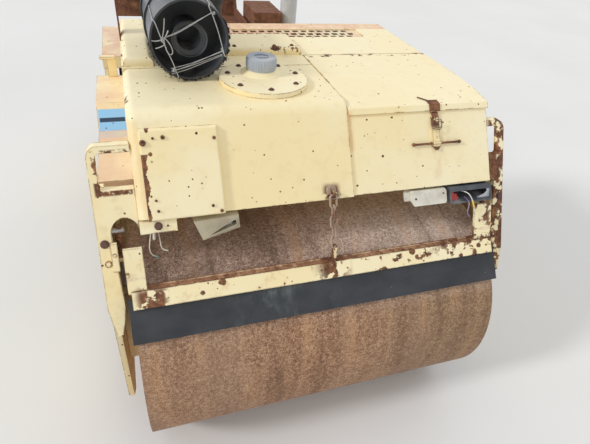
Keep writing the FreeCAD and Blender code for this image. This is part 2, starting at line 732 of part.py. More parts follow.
def rail_post():
    """Short post with a flat top plate on the left rail's rear end."""
    top = RAIL_TOP_Z + POST_HEIGHT
    front = RAIL_END_Y - POST_DEPTH
    post = block(POST_X, (front, RAIL_END_Y), (RAIL_TOP_Z - 1, top))
    plate = block((POST_X[0] - POST_ARM[0], POST_X[1]), (front - POST_ARM[1], RAIL_END_Y),
                  (top, top + POST_ARM[1]))
    return joined([post, plate])


def plate_horn():
    """Front part of the side plate above its main top edge, up to the rail's ledge."""
    rear = RAIL_FRONT_Y - RAIL_SLIT
    return across([
        (leg_back_y(PLATE_TOP_Z), PLATE_TOP_Z), (leg_back_y(RAIL_LEDGE_Z), RAIL_LEDGE_Z),
        (rear, RAIL_LEDGE_Z), (rear, PLATE_TOP_Z),
    ], (plate_in, plate_out))


def cradle():
    beams = []
    for y in CRADLE_PLACES:
        beams.append(block((HOOD_LEFT - RAIL_HOOD_GAP, HOOD_RIGHT + RAIL_HOOD_GAP),
                           (y, y + CRADLE_DEPTH),
                           (HOOD_FLOOR_Z - CRADLE_THICK, HOOD_FLOOR_Z - SEAT_GAP)))
    return beams


# Hood: closed tank at the left, open locker under a lid at the right

def hood_under(set_back):
    """(y, z) points along the bottom of the sloping front, from the floor to its edge."""
    edge_y = hood_y(HOOD_LOW_Z) + set_back
    return [(edge_y + HOOD_CHAMFER, HOOD_FLOOR_Z), (edge_y, HOOD_LOW_Z)]


def lid_line(drop, set_back):
    """(y, z) points along the lid's top from fold to flat, lowered and set back."""
    fold_z = HOOD_TOP_Z - LID_FOLD_DROP - drop
    return [(hood_y(fold_z) + set_back, fold_z),
            (LID_KNEE_Y, HOOD_TOP_Z - LID_KNEE_DROP - drop), (LID_FLAT_Y, HOOD_TOP_Z - drop)]


def tank_box():
    """Closed tank, rounded over its front bend and down its left side."""
    tank = across(hood_under(0) + [(HOOD_TOP_Y, HOOD_TOP_Z), (TANK_REAR_Y, HOOD_TOP_Z),
                                   (TANK_REAR_Y, HOOD_FLOOR_Z)], (HOOD_LEFT, HOOD_SPLIT))
    middle = (HOOD_LEFT + HOOD_SPLIT) / 2
    tank = rounded(tank, HOOD_BEND, lambda c: abs(c.x - middle) < 1
                   and abs(c.y - HOOD_TOP_Y) < 1 and abs(c.z - HOOD_TOP_Z) < 1)
    return rounded(tank, HOOD_SIDE_BEND, lambda c: abs(c.x - HOOD_LEFT) < 1
                   and c.z > HOOD_LOW_Z and c.y < TANK_REAR_Y - 1)


def locker_box():
    """Open-topped box under the right lid."""
    drop = SHEET + LID_SEAT_GAP
    outer = across(hood_under(LOCKER_RECESS) + lid_line(drop, LOCKER_RECESS)
                   + [(LOCKER_REAR_Y, HOOD_TOP_Z - drop), (LOCKER_REAR_Y, HOOD_FLOOR_Z)],
                   (HOOD_SPLIT, HOOD_RIGHT))
    bottom = HOOD_FLOOR_Z + SHEET
    over = HOOD_TOP_Z + HOOD_SKIRT
    cavity = across([
        (hood_y(bottom) + LOCKER_WALL, bottom), (hood_y(over) + LOCKER_WALL, over),
        (LOCKER_REAR_Y - SHEET, over), (LOCKER_REAR_Y - SHEET, bottom),
    ], (HOOD_SPLIT + SHEET, HOOD_RIGHT - SHEET))
    return outer.cut(cavity)


def hood_tank():
    eye, run, links = chain_run()
    lug, hole = chain_eye(eye, eye + Vector(0, EYE_REACH + EYE_RIM, 0))
    return joined([tank_box(), locker_box(), lug]).cut(hole)


def right_lid():
    left = HOOD_SPLIT + PANEL_GAP
    right = HOOD_RIGHT + PANEL_GAP
    under = HOOD_TOP_Z - SHEET
    fold_z = HOOD_TOP_Z - LID_FOLD_DROP
    lip_z = fold_z - LID_LIP
    rear = LOCKER_REAR_Y + LID_REAR_REACH
    wall = SHEET * math.hypot(1, hood_slope)
    lip_end = (hood_y(lip_z) + wall, lip_z)
    inner_line = lid_line(SHEET, wall)
    skin = across([(hood_y(lip_z), lip_z)] + lid_line(0, 0)
                  + [(rear, HOOD_TOP_Z), (rear, under)] + inner_line[::-1] + [lip_end],
                  (left, right))
    skin = rounded(skin, LID_FOLD_ROUND, lambda c: abs(c.z - fold_z) < 1
                   and abs(c.y - hood_y(fold_z)) < 1 and left + 1 < c.x < right - 1)
    side = across(inner_line + [(rear, under), (rear, HOOD_TOP_Z - LID_SIDE_LIP), lip_end],
                  (right - LID_SIDE_SHEET, right))
    return joined([skin, side])


def lid_keeper():
    """Plate bent over the lid's front fold that holds the strap, with a thin lever."""
    fold_z = HOOD_TOP_Z - LID_FOLD_DROP
    low = fold_z - LID_LIP
    fold_y = hood_y(fold_z)
    rise = (LID_FOLD_DROP - LID_KNEE_DROP) / (LID_KNEE_Y - fold_y)

    def on_lid(run, lift):
        return (fold_y + run, fold_z + run * rise + lift)

    plate = across([
        (hood_y(low) - SEAT_GAP, low), (hood_y(low) - KEEPER_PLATE, low),
        on_lid(-KEEPER_PLATE, KEEPER_PLATE), on_lid(KEEPER_REACH, KEEPER_PLATE),
        on_lid(KEEPER_REACH, SEAT_GAP), on_lid(-SEAT_GAP, SEAT_GAP),
    ], (KEEPER_X - KEEPER_WIDTH / 2, KEEPER_X + KEEPER_WIDTH / 2))
    lift = SEAT_GAP + KEEPER_PLATE / 2
    start = (KEEPER_X - KEEPER_LEVER[0], *on_lid(KEEPER_REACH - KEEPER_PLATE, lift))
    end = (KEEPER_X - KEEPER_LEVER[1], *on_lid(KEEPER_LEVER[1], lift))
    return joined([plate, bar(start, end, KEEPER_PLATE / 2)])


def latch_strap():
    """Rubber strap down the locker's front with a cross bar and a knob at its foot."""
    top = HOOD_TOP_Z - LID_FOLD_DROP - LID_LIP - PANEL_GAP
    low = top - STRAP_LENGTH
    face = LOCKER_RECESS - SEAT_GAP
    strap = across([
        (hood_y(top) + face, top), (hood_y(low) + face, low),
        (hood_y(low) + face - STRAP_THICK, low), (hood_y(top) + face - STRAP_THICK, top),
    ], (KEEPER_X - STRAP_WIDTH / 2, KEEPER_X + STRAP_WIDTH / 2))
    foot = low + T_BAR_RISE
    foot_y = hood_y(foot) + face - T_BAR_STANDOFF
    ends = [(KEEPER_X + side * T_BAR_LENGTH / 2, foot_y, foot) for side in (-1, 1)]
    tips = [Part.makeSphere(T_BAR_TIP, Vector(*end)) for end in ends]
    knob_z = low - STRAP_KNOB_DROP
    knob = Part.makeCylinder(STRAP_KNOB[0], STRAP_KNOB[1],
                             Vector(KEEPER_X, hood_y(knob_z) + face, knob_z),
                             Vector(0, -1, hood_slope))
    return joined([strap, bar(ends[0], ends[1], T_BAR_RADIUS), knob] + tips)


# Engine bay behind the tank: fixed walls below, a hinged top cover above

def engine_bay():
    """Open box below the engine cover, behind the tank and the locker."""
    rear_y = HOOD_REAR_Y - BAY_REAR_GAP
    heights = (HOOD_FLOOR_Z, HOOD_TOP_Z - BAY_TOP_DROP)
    left = block((HOOD_LEFT, HOOD_LEFT + SHEET), (TANK_REAR_Y + SEAT_GAP, rear_y), heights)
    right = block((HOOD_RIGHT - SHEET, HOOD_RIGHT), (LOCKER_REAR_Y + SEAT_GAP, rear_y),
                  heights)
    rear = block((HOOD_LEFT, HOOD_RIGHT), (rear_y - SHEET, rear_y), heights)
    floor = block((HOOD_LEFT, HOOD_RIGHT), (LOCKER_REAR_Y + SEAT_GAP, rear_y),
                  (HOOD_FLOOR_Z, HOOD_FLOOR_Z + SHEET))
    return joined([left, right, rear, floor])


def hood_plan(margin, front_gap):
    """L-shaped plan of the engine cover as (x, y) points, drawn in by margin."""
    left, right = HOOD_LEFT + margin, HOOD_RIGHT - margin
    step_x = HOOD_SPLIT + margin
    tank_y = TANK_REAR_Y + front_gap + margin
    lid_y = LOCKER_REAR_Y + front_gap + LID_REAR_REACH + margin
    rear = HOOD_REAR_Y - margin
    return [(left, tank_y), (step_x, tank_y), (step_x, lid_y), (right, lid_y),
            (right, rear), (left, rear)]


def engine_cover():
    low = HOOD_TOP_Z - HOOD_SKIRT
    shell = upward(hood_plan(0, PANEL_GAP), (low, HOOD_TOP_Z))
    hollow = upward(hood_plan(SHEET, PANEL_GAP), (low - 1, HOOD_TOP_Z - SHEET))
    shell = shell.cut(hollow)
    top = HOOD_TOP_Z + BULGE_HEIGHT
    left_x = (HOOD_LEFT + BULGE_LEFT[0], HOOD_LEFT + BULGE_LEFT[1])
    bulges = []
    for x, y in ((left_x, BULGE_LEFT_Y), (BULGE_MIDDLE_X, BULGE_MIDDLE_Y)):
        pad = block(x, y, (HOOD_TOP_Z - SHEET, top))
        bulges.append(rounded(pad, BULGE_ROUND, lambda c: abs(c.z - top) < 0.5))
    window = block((GRILLE_LEFT, GRILLE_RIGHT),
                   (GRILLE_FRONT_Y, GRILLE_FRONT_Y + GRILLE_ROWS * GRILLE_PITCH),
                   (HOOD_TOP_Z - SHEET - 1, HOOD_TOP_Z + 1))
    return joined([shell] + bulges).cut(window)


def engine_grille():
    """Punched plate under the cover's window, holes in staggered rows."""
    depth = GRILLE_ROWS * GRILLE_PITCH
    top = HOOD_TOP_Z - SHEET - SEAT_GAP
    plate = block((GRILLE_LEFT - GRILLE_BORDER, GRILLE_RIGHT + GRILLE_BORDER),
                  (GRILLE_FRONT_Y - GRILLE_BORDER, GRILLE_FRONT_Y + depth + GRILLE_BORDER),
                  (top - GRILLE_PLATE, top))
    holes = []
    count = int((GRILLE_RIGHT - GRILLE_LEFT) // GRILLE_PITCH) - 1
    for row in range(GRILLE_ROWS):
        y = GRILLE_FRONT_Y + (row + 0.5) * GRILLE_PITCH
        shift = GRILLE_PITCH / 2 * (row % 2)
        for place in range(count):
            x = GRILLE_LEFT + shift + (place + 0.5) * GRILLE_PITCH
            holes.append(block((x, x + GRILLE_HOLE),
                               (y - GRILLE_HOLE / 2, y + GRILLE_HOLE / 2),
                               (top - GRILLE_PLATE - 1, top + 1)))
    return plate.cut(Part.makeCompound(holes))


def engine_block():
    low = HOOD_FLOOR_Z + SHEET + SEAT_GAP
    return block(ENGINE_X, ENGINE_Y, (low, low + ENGINE_HEIGHT))


# Fittings on the hood

def filler_flange():
    low = HOOD_TOP_Z + SEAT_GAP
    disc = bar((FLANGE_X, FLANGE_Y, low), (FLANGE_X, FLANGE_Y, low + FLANGE_THICK),
               FLANGE_RADIUS)
    neck = Part.makeCone(NECK_RADIUS + NECK_FLARE, NECK_RADIUS - NECK_FLARE, NECK_HEIGHT,
                         Vector(FLANGE_X, NECK_Y, low + FLANGE_THICK))
    return joined([disc, neck])


def filler_cap():
    low = HOOD_TOP_Z + 2 * SEAT_GAP + FLANGE_THICK + NECK_HEIGHT
    high = low + CAP_HEIGHT
    body = bar((FLANGE_X, NECK_Y, low), (FLANGE_X, NECK_Y, high), CAP_RADIUS)
    body = rounded(body, CAP_ROUND, lambda c: abs(c.z - high) < 1)
    recess = bar((FLANGE_X, NECK_Y, high - CAP_RECESS), (FLANGE_X, NECK_Y, high + 1),
                 CAP_RECESS_RADIUS)
    grip = block((FLANGE_X - CAP_RECESS_RADIUS, FLANGE_X + CAP_RECESS_RADIUS),
                 (NECK_Y - CAP_GRIP_WIDTH / 2, NECK_Y + CAP_GRIP_WIDTH / 2),
                 (high - CAP_RECESS, high - 1))
    return joined([body.cut(recess), grip])


def front_cover():
    """Shallow screwed cover on the left of the tank's sloping front."""
    cover = across([
        (hood_y(HOOD_LOW_Z) - SEAT_GAP, HOOD_LOW_Z),
        (hood_y(COVER_HIGH_Z) - SEAT_GAP, COVER_HIGH_Z),
        (hood_y(COVER_HIGH_Z) - COVER_THICK, COVER_HIGH_Z),
        (hood_y(HOOD_LOW_Z) - COVER_THICK, HOOD_LOW_Z),
    ], (COVER_LEFT, COVER_LEFT + COVER_WIDTH))
    return rounded(cover, COVER_ROUND, lambda c: c.y < hood_y(c.z) - COVER_THICK + 1)


def air_canister():
    """Open-ended air cleaner body lying on the engine cover, with two bands."""
    z = HOOD_TOP_Z + SEAT_GAP + CANISTER_RADIUS + CANISTER_BAND
    rear_y = CANISTER_FRONT_Y + CANISTER_LENGTH

    def along(first, last, radius):
        return bar((CANISTER_X, first, z), (CANISTER_X, last, z), radius)

    body = along(CANISTER_FRONT_Y, rear_y, CANISTER_RADIUS)
    bands = []
    for place in CANISTER_BAND_PLACES:
        y = CANISTER_FRONT_Y + place
        bands.append(along(y, y + CANISTER_BAND_WIDTH, CANISTER_RADIUS + CANISTER_BAND))
    mouth = along(CANISTER_FRONT_Y - 1, CANISTER_FRONT_Y + CANISTER_DEPTH,
                  CANISTER_RADIUS - CANISTER_WALL)
    tube_y = CANISTER_FRONT_Y + CANISTER_TUBE_SETBACK
    tube = along(tube_y, CANISTER_FRONT_Y + CANISTER_DEPTH + 1, CANISTER_TUBE)
    tube_bore = along(tube_y - 1, CANISTER_FRONT_Y + CANISTER_DEPTH - CANISTER_WALL,
                      CANISTER_TUBE - CANISTER_WALL)
    return joined([body.cut(mouth), tube.cut(tube_bore)] + bands)


def canister_bracket():
    """Upright flat bar at the cover's rear left corner and its arm to the canister."""
    start_y = CANISTER_FRONT_Y + CANISTER_LENGTH + SEAT_GAP
    z = HOOD_TOP_Z + SEAT_GAP + CANISTER_RADIUS + CANISTER_BAND
    heights = (z - BRACKET_HALF_HEIGHT, z + BRACKET_HALF_HEIGHT)
    bar_x = (HOOD_LEFT + 1, HOOD_LEFT + 1 + BRACKET_THICK)
    end_y = start_y + BRACKET_ARM
    post = block(bar_x, (end_y - BRACKET_THICK, end_y + BRACKET_POST_WIDTH),
                 (HOOD_TOP_Z + SEAT_GAP, z + BRACKET_POST_RISE))
    arm = block((bar_x[0], CANISTER_X), (start_y, start_y + BRACKET_THICK), heights)
    web = block(bar_x, (start_y, end_y), heights)
    return joined([post, arm, web])


# Lamps under the hood's front edge

def lamp_space(low_z, depth):
    """Space below the hood's front edge that a lamp's body may fill, right across."""
    top_z = HOOD_LOW_Z - LAMP_TOP_DROP
    ceiling = HOOD_FLOOR_Z - LAMP_TOP_GAP
    rear = HOOD_LOW_Y + depth
    return across([
        (hood_y(low_z), low_z), (hood_y(top_z), top_z),
        (HOOD_LOW_Y + HOOD_CHAMFER - LAMP_TOP_GAP, ceiling), (rear, ceiling), (rear, low_z),
    ], (-half_width, half_width))


def seen_from_front(outline, rear):
    """Prism through the front, as far as rear, over a list of (x, drop) points."""
    corners = [Vector(x, -AXLE_Y, HOOD_LOW_Z - drop) for x, drop in outline]
    return flat(corners).extrude(Vector(0, rear + AXLE_Y, 0))


def hollow_lamp(outline, mouth, depth, rim):
    """Lamp housing with an open mouth in its front."""
    low_z = HOOD_LOW_Z - max(drop for x, drop in outline)
    body = lamp_space(low_z, depth).common(seen_from_front(outline, AXLE_Y))
    hole = seen_from_front(mouth, HOOD_LOW_Y + depth - rim)
    roof = block((-half_width, half_width), (-AXLE_Y, AXLE_Y),
                 (HOOD_FLOOR_Z - LAMP_TOP_GAP - rim, HOOD_TOP_Z))
    return body.cut(hole.cut(roof))


def oblong(x, high, low):
    """Rectangle as (x, drop) points."""
    return [(x[0], high), (x[1], high), (x[1], low), (x[0], low)]


def tail_lamp():
    left, right = TAIL_LAMP_X
    mouth = oblong((left + TAIL_LAMP_RIM, right - TAIL_LAMP_RIM), 0,
                   TAIL_LAMP_DROP - TAIL_LAMP_RIM)
    return hollow_lamp(oblong(TAIL_LAMP_X, 0, TAIL_LAMP_DROP), mouth, TAIL_LAMP_DEPTH,
                       TAIL_LAMP_RIM)


def right_lamp():
    """Closed lamp block with rounded ends, on a wider plate behind its face."""
    low_z = HOOD_LOW_Z - RIGHT_LAMP_DROP
    prism = seen_from_front(oblong(RIGHT_LAMP_X, LAMP_TOP_DROP, RIGHT_LAMP_DROP), AXLE_Y)
    prism = rounded(prism, RIGHT_LAMP_ROUND, lambda c: abs(c.y) < 1)
    body = lamp_space(low_z, RIGHT_LAMP_DEPTH).common(prism)
    ceiling = HOOD_FLOOR_Z - LAMP_TOP_GAP
    near, far = RIGHT_LAMP_RIM_PLACE
    plate_z = low_z + RIGHT_LAMP_ROUND
    plate = across([
        (hood_y(plate_z) + near, plate_z), (hood_y(ceiling) + near, ceiling),
        (hood_y(ceiling) + far, ceiling), (hood_y(plate_z) + far, plate_z),
    ], RIGHT_LAMP_RIM)
    return joined([body, plate])


def loom_plate():
    """Folded plate below the hood's left end, where loose wires come out."""
    low_z = HOOD_LOW_Z - LOOM_PLATE_DROP
    top_z = HOOD_LOW_Z - LAMP_TOP_DROP
    ceiling = HOOD_FLOOR_Z - LAMP_TOP_GAP
    knee_y = HOOD_LOW_Y + HOOD_CHAMFER - LAMP_TOP_GAP
    rear = knee_y + LOOM_PLATE_FLANGE
    wall = LOOM_PLATE_THICK * math.hypot(1, hood_slope)
    inner_z = top_z - 2 * LOOM_PLATE_THICK
    return across([
        (hood_y(low_z), low_z), (hood_y(top_z), top_z), (knee_y, ceiling), (rear, ceiling),
        (rear, ceiling - LOOM_PLATE_THICK), (knee_y, ceiling - LOOM_PLATE_THICK),
        (hood_y(inner_z) + wall, inner_z), (hood_y(low_z) + wall, low_z),
    ], LOOM_PLATE_X)


def cord(corners):
    """Round wire of straight runs joined by tangent arcs, and the arcs' radii."""
    points = [Vector(*corner) for corner in corners]
    edges, radii = [], []
    start = points[0]
    for before, corner, after in zip(points, points[1:], points[2:]):
        into, out = (corner - before).normalize(), (after - corner).normalize()
        half_turn = into.getAngle(out) / 2
        cut = CORD_CUT * min((corner - before).Length, (after - corner).Length)
        radius = cut / math.tan(half_turn)
        inward = (out - into).normalize()
        middle = corner + inward * (radius / math.cos(half_turn) - radius)
        first, last = corner - into * cut, corner + out * cut
        edges.append(Part.LineSegment(start, first).toShape())
        edges.append(Part.Arc(first, middle, last).toShape())
        radii.append(round(radius, 1))
        start = last
    edges.append(Part.LineSegment(start, points[-1]).toShape())
    ring = Part.Wire([Part.makeCircle(WIRE_RADIUS, points[0], points[1] - points[0])])
    return Part.Wire(edges).makePipeShell([ring], True, True), radii


def loose_wires(routes):
    wires = []
    for corners in routes:
        wire, radii = cord(corners)
        print("wire radii", radii)
        wires.append(to_front(wire))
    return wires


def lift_chain():
    """Links from the eye on the hood's front down to the scraper beam."""
    eye, run, links = chain_run()
    pitch = LINK_INNER - SEAT_GAP
    start = eye + run * (EYE_HOLE - SEAT_GAP)
    return [chain_link(start + run * (pitch * (number + 0.5)), run, number % 2)
            for number in range(links)]


def chain_link(centre, run, turned):
    """Oval link of round wire along the direction run, every other one turned."""
    bow = (LINK_WIDTH + CHAIN_WIRE) / 2
    straight = (LINK_INNER + CHAIN_WIRE) / 2 - bow
    wire = CHAIN_WIRE / 2
    pieces = []
    for end in (-1, 1):
        ring = Part.makeTorus(bow, wire, Vector(0, 0, 0), Vector(0, 1, 0))
        keep = block((-2 * bow, 2 * bow), (-bow, bow), (0, 2 * bow) if end > 0 else (-2 * bow, 0))
        half = ring.common(keep)
        half.translate(Vector(0, 0, end * straight))
        pieces.append(half)
        pieces.append(bar((end * bow, 0, -straight), (end * bow, 0, straight), wire))
    link = joined(pieces)
    if turned:
        link.rotate(Vector(0, 0, 0), Vector(0, 0, 1), 90)
    link.Placement = FreeCAD.Placement(centre, Rotation(Vector(0, 0, 1), run)).multiply(
        link.Placement)
    return link


# Rear module above its yoke

def deck_y(z):
    """Y of the deck's sloping outer face in module places."""
    return leg_back_y(z) + SEAT_GAP


def rear_deck():
    """Flat box over the rear drum that carries the seat, in module places."""
    low, high = PLATE_TOP_Z + SEAT_GAP, deck_top
    return across([(deck_y(low), low), (deck_y(high), high),
                   (CROSS_BOX_Y, high), (CROSS_BOX_Y, low)], (-leg_out, leg_out))


def floor():
    inner_y = AXLE_Y - CROSS_BOX_Y
    low = CROSS_BOX_HIGH_Z + SEAT_GAP
    outline = [
        (-FLOOR_FRONT_HALF, FLOOR_FRONT_Y), (FLOOR_FRONT_HALF, FLOOR_FRONT_Y),
        (FLOOR_WIDE_HALF, FLOOR_WIDE_Y), (FLOOR_WIDE_HALF, inner_y),
        (-FLOOR_WIDE_HALF, inner_y), (-FLOOR_WIDE_HALF, FLOOR_WIDE_Y),
    ]
    plate = upward(outline, (low, floor_top))
    riser = block((-FLOOR_WIDE_HALF, FLOOR_WIDE_HALF), (inner_y - FLOOR_RISER, inner_y),
                  (low, PLATE_TOP_Z - PANEL_GAP))
    return joined([plate, riser])


def seat_base():
    left = SEAT_X - SEAT_WIDTH / 2 + SEAT_BASE_MARGIN
    right = SEAT_X + SEAT_WIDTH / 2 - SEAT_BASE_MARGIN
    front, rear = SEAT_BASE_INSET
    low = deck_top + SEAT_GAP
    return block((left, right), (seat_front_y + front, seat_front_y + SEAT_DEPTH - rear),
                 (low, low + SEAT_BASE_HEIGHT))


def seat_shell():
    """Bare steel seat pan with raised sides and a leaning back."""
    low = deck_top + 2 * SEAT_GAP + SEAT_BASE_HEIGHT
    left, right = SEAT_X - SEAT_WIDTH / 2, SEAT_X + SEAT_WIDTH / 2
    rear = seat_front_y + SEAT_DEPTH
    back_y = rear + SEAT_BACK_LEAN
    pan = block((left, right), (seat_front_y, rear), (low, low + SEAT_SHEET))
    back = across([
        (rear - SEAT_SHEET, low), (back_y, low + SEAT_BACK_HEIGHT),
        (back_y + SEAT_SHEET, low + SEAT_BACK_HEIGHT), (rear, low),
    ], (left, right))
    foot, head = SEAT_SIDE_CUTS
    sides = []
    for x in (left, right - SEAT_SHEET):
        sides.append(across([
            (seat_front_y + foot, low), (seat_front_y + head, low + SEAT_SIDE_HEIGHT),
            (rear - head, low + SEAT_SIDE_HEIGHT), (rear + foot / 2, low + SEAT_SIDE_RISE),
            (rear, low),
        ], (x, x + SEAT_SHEET)))
    return joined([pan, back] + sides)


def side_console():
    low = deck_top + SEAT_GAP
    left = SEAT_X + SEAT_WIDTH / 2 + CONSOLE_GAP
    front = AXLE_Y - CONSOLE_REACH
    return block((left, left + CONSOLE_WIDTH), (front, front + CONSOLE_DEPTH),
                 (low, low + CONSOLE_HEIGHT))


def oil_filter():
    low = deck_top + SEAT_GAP
    console_right = SEAT_X + SEAT_WIDTH / 2 + CONSOLE_GAP + CONSOLE_WIDTH
    x = console_right + FILTER_GAP + FILTER_RADIUS
    y = AXLE_Y - FILTER_REACH
    return bar((x, y, low), (x, y, low + FILTER_HEIGHT), FILTER_RADIUS)


def column_axis():
    base = Vector(SEAT_X, COLUMN_Y, floor_top + SEAT_GAP)
    top = Vector(SEAT_X, COLUMN_Y + COLUMN_LEAN, COLUMN_TOP_Z)
    return base, top


def steering_column():
    base, top = column_axis()
    width, depth, thick = COLUMN_FOOT
    foot = Part.makeBox(width, depth, thick, base - Vector(width / 2, depth / 2, 0))
    along = (top - base).normalize()
    post = bar(base + along * (thick / 2), top, COLUMN_RADIUS)
    return joined([foot, post])


def steering_wheel():
    base, top = column_axis()
    along = (top - base).normalize()
    hub = Part.makeCylinder(WHEEL_HUB_RADIUS, WHEEL_HUB_DEPTH)
    rim = Part.makeTorus(WHEEL_RADIUS, WHEEL_RIM, Vector(0, 0, WHEEL_RISE))
    pieces = [hub, rim]
    root, root_z = WHEEL_HUB_RADIUS / 2, WHEEL_HUB_DEPTH / 2
    for number in range(WHEEL_SPOKES):
        turn = math.pi / 2 + 2 * math.pi * number / WHEEL_SPOKES
        way = Vector(math.cos(turn), math.sin(turn), 0)
        pieces.append(bar(way * root + Vector(0, 0, root_z),
                          way * WHEEL_RADIUS + Vector(0, 0, WHEEL_RISE),
                          WHEEL_SPOKE_RADIUS))
    wheel = joined(pieces)
    wheel.Placement = FreeCAD.Placement(top + along * SEAT_GAP,
                                        Rotation(Vector(0, 0, 1), along))
    return wheel


def rear_lamps():
    """Lamp boxes on the outer face of the deck, in module places."""
    low = PLATE_TOP_Z + REAR_LAMP_LIFT
    high = low + REAR_LAMP_HEIGHT
    lamp = across([
        (deck_y(low) - SEAT_GAP, low), (deck_y(high) - SEAT_GAP, high),
        (deck_y(high) - REAR_LAMP_DEPTH, high), (deck_y(low) - REAR_LAMP_DEPTH, low),
    ], (REAR_LAMP_X, REAR_LAMP_X + REAR_LAMP_WIDTH))
    return both_sides(lamp)


def front_yoke():
    pieces = [to_front(yoke())] + [to_front(horn) for horn in both_sides(plate_horn())]
    return joined(pieces + front_tongue() + [steering_lug()])


def rear_yoke():
    return joined([to_rear(yoke()), rear_tongue()])


def build():
    os.makedirs("parts", exist_ok=True)
    left_rail = joined([both_sides(side_rail(-HOOD_LEFT + RAIL_HOOD_GAP))[1], rail_post()])
    right_rail = side_rail(HOOD_RIGHT + RAIL_HOOD_GAP)
    left_leg = joined([both_sides(front_leg(-HOOD_LEFT))[1], leg_tab()])
    right_leg = front_leg(HOOD_RIGHT)

    save("front_drum", to_front(drum()))
    save("front_yoke", front_yoke())
    save("front_hub_caps", *[to_front(cap) for cap in hub_caps()])
    save("front_legs", to_front(left_leg), to_front(right_leg))
    save("side_rails", to_front(left_rail), to_front(right_rail))
    save("cradle_beams", *[to_front(beam) for beam in cradle()])
    save("pivot_pin", pivot_pin())
    save("front_scraper", to_front(front_scraper()))
    save("front_wiper", to_front(wiper_strip()))
    save("scraper_chain", *[to_front(link) for link in lift_chain()])

    save("hood_tank", to_front(hood_tank()))
    save("front_cover", to_front(front_cover()))
    save("filler_flange", to_front(filler_flange()))
    save("filler_cap", to_front(filler_cap()))
    save("engine_bay", to_front(engine_bay()))
    save("engine_block", to_front(engine_block()))
    save("latch_strap", to_front(latch_strap()))
    save("left_lamp", to_front(hollow_lamp(LEFT_LAMP, LEFT_LAMP_MOUTH, LEFT_LAMP_DEPTH,
                                           LEFT_LAMP_RIM)))
    save("right_lamp", to_front(right_lamp()))
    save("tail_lamp", to_front(tail_lamp()))
    save("loom_plate", to_front(loom_plate()))
    save("left_wires", *loose_wires(LEFT_WIRES))
    save("tail_wires", *loose_wires(TAIL_WIRES))

    save("right_lid", to_front(right_lid()))
    save("lid_keeper", to_front(lid_keeper()))
    save("engine_cover", to_front(engine_cover()))
    save("engine_grille", to_front(engine_grille()))
    save("air_canister", to_front(air_canister()))
    save("canister_bracket", to_front(canister_bracket()))

    save("rear_drum", to_rear(drum()))
    save("rear_yoke", rear_yoke())
    save("rear_hub_caps", *[to_rear(cap) for cap in hub_caps()])
    save("rear_legs", *[to_rear(plate) for plate in both_sides(rear_leg())])
    save("rear_scraper", to_rear(scraper_beam(REAR_END_HEIGHT, REAR_ENDS)))
    save("rear_wiper", to_rear(wiper_strip()))
    save("rear_deck", to_rear(rear_deck()))
    save("floor_plate", floor())
    save("rear_lamps", *[to_rear(lamp) for lamp in rear_lamps()])
    save("seat_base", seat_base())
    save("seat_shell", seat_shell())
    save("side_console", side_console())
    save("oil_filter", oil_filter())
    save("steering_column", steering_column())
    save("steering_wheel", steering_wheel())
    save("steering_barrel", steering_barrel())
    save("steering_rod", steering_rod())


build()
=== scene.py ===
import json
import math
import random

import bmesh
import bpy
from mathutils import Matrix, Vector


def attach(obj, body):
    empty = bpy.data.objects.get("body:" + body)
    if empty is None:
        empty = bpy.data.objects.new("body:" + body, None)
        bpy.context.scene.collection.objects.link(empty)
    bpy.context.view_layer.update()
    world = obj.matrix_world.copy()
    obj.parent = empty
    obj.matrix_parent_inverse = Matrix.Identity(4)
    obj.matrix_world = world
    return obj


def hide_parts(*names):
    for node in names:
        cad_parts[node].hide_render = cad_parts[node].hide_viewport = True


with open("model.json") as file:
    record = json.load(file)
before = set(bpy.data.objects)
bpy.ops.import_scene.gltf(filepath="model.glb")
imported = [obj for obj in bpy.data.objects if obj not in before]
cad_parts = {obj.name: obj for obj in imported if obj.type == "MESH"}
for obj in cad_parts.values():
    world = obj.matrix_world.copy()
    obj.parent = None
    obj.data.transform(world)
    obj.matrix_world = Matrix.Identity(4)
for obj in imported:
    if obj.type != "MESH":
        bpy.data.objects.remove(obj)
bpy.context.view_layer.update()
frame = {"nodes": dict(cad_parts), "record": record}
nodes = frame["nodes"]
body_of_node = {node: body
                for body, members in frame["record"]["behaviour"]["bodies"].items()
                for node in members}
slot_of_node = {part["node"]: part["material_slot"] for part in frame["record"]["subparts"]}

# The front axle's Y: places on the front module are written from this axle.
FRONT = -0.900

# Camera: place, turn from +Y towards +X, tilt down and roll, in metres and radians.
CAMERA_PLACE = Vector((-0.5173, -2.0985, 1.710))
CAMERA_YAW = 0.3714
CAMERA_PITCH = 0.6481
CAMERA_ROLL = 0.1068
CAMERA_LENS = 465.26 / 590 * 36


def add_camera():
    data = bpy.data.cameras.new("camera")
    data.sensor_width = 36
    data.lens = CAMERA_LENS
    data.clip_start, data.clip_end = 0.05, 100
    camera = bpy.data.objects.new("camera", data)
    bpy.context.collection.objects.link(camera)
    forward = Vector((math.sin(CAMERA_YAW) * math.cos(CAMERA_PITCH),
                      math.cos(CAMERA_YAW) * math.cos(CAMERA_PITCH), -math.sin(CAMERA_PITCH)))
    level = Vector((math.cos(CAMERA_YAW), -math.sin(CAMERA_YAW), 0))
    rise = level.cross(forward)
    right = math.cos(CAMERA_ROLL) * level + math.sin(CAMERA_ROLL) * rise
    up = -math.sin(CAMERA_ROLL) * level + math.cos(CAMERA_ROLL) * rise
    turn = Matrix((right, up, -forward)).transposed()
    camera.matrix_world = Matrix.Translation(CAMERA_PLACE) @ turn.to_4x4()
    bpy.context.scene.camera = camera


# Materials: one small node builder, then the finishes

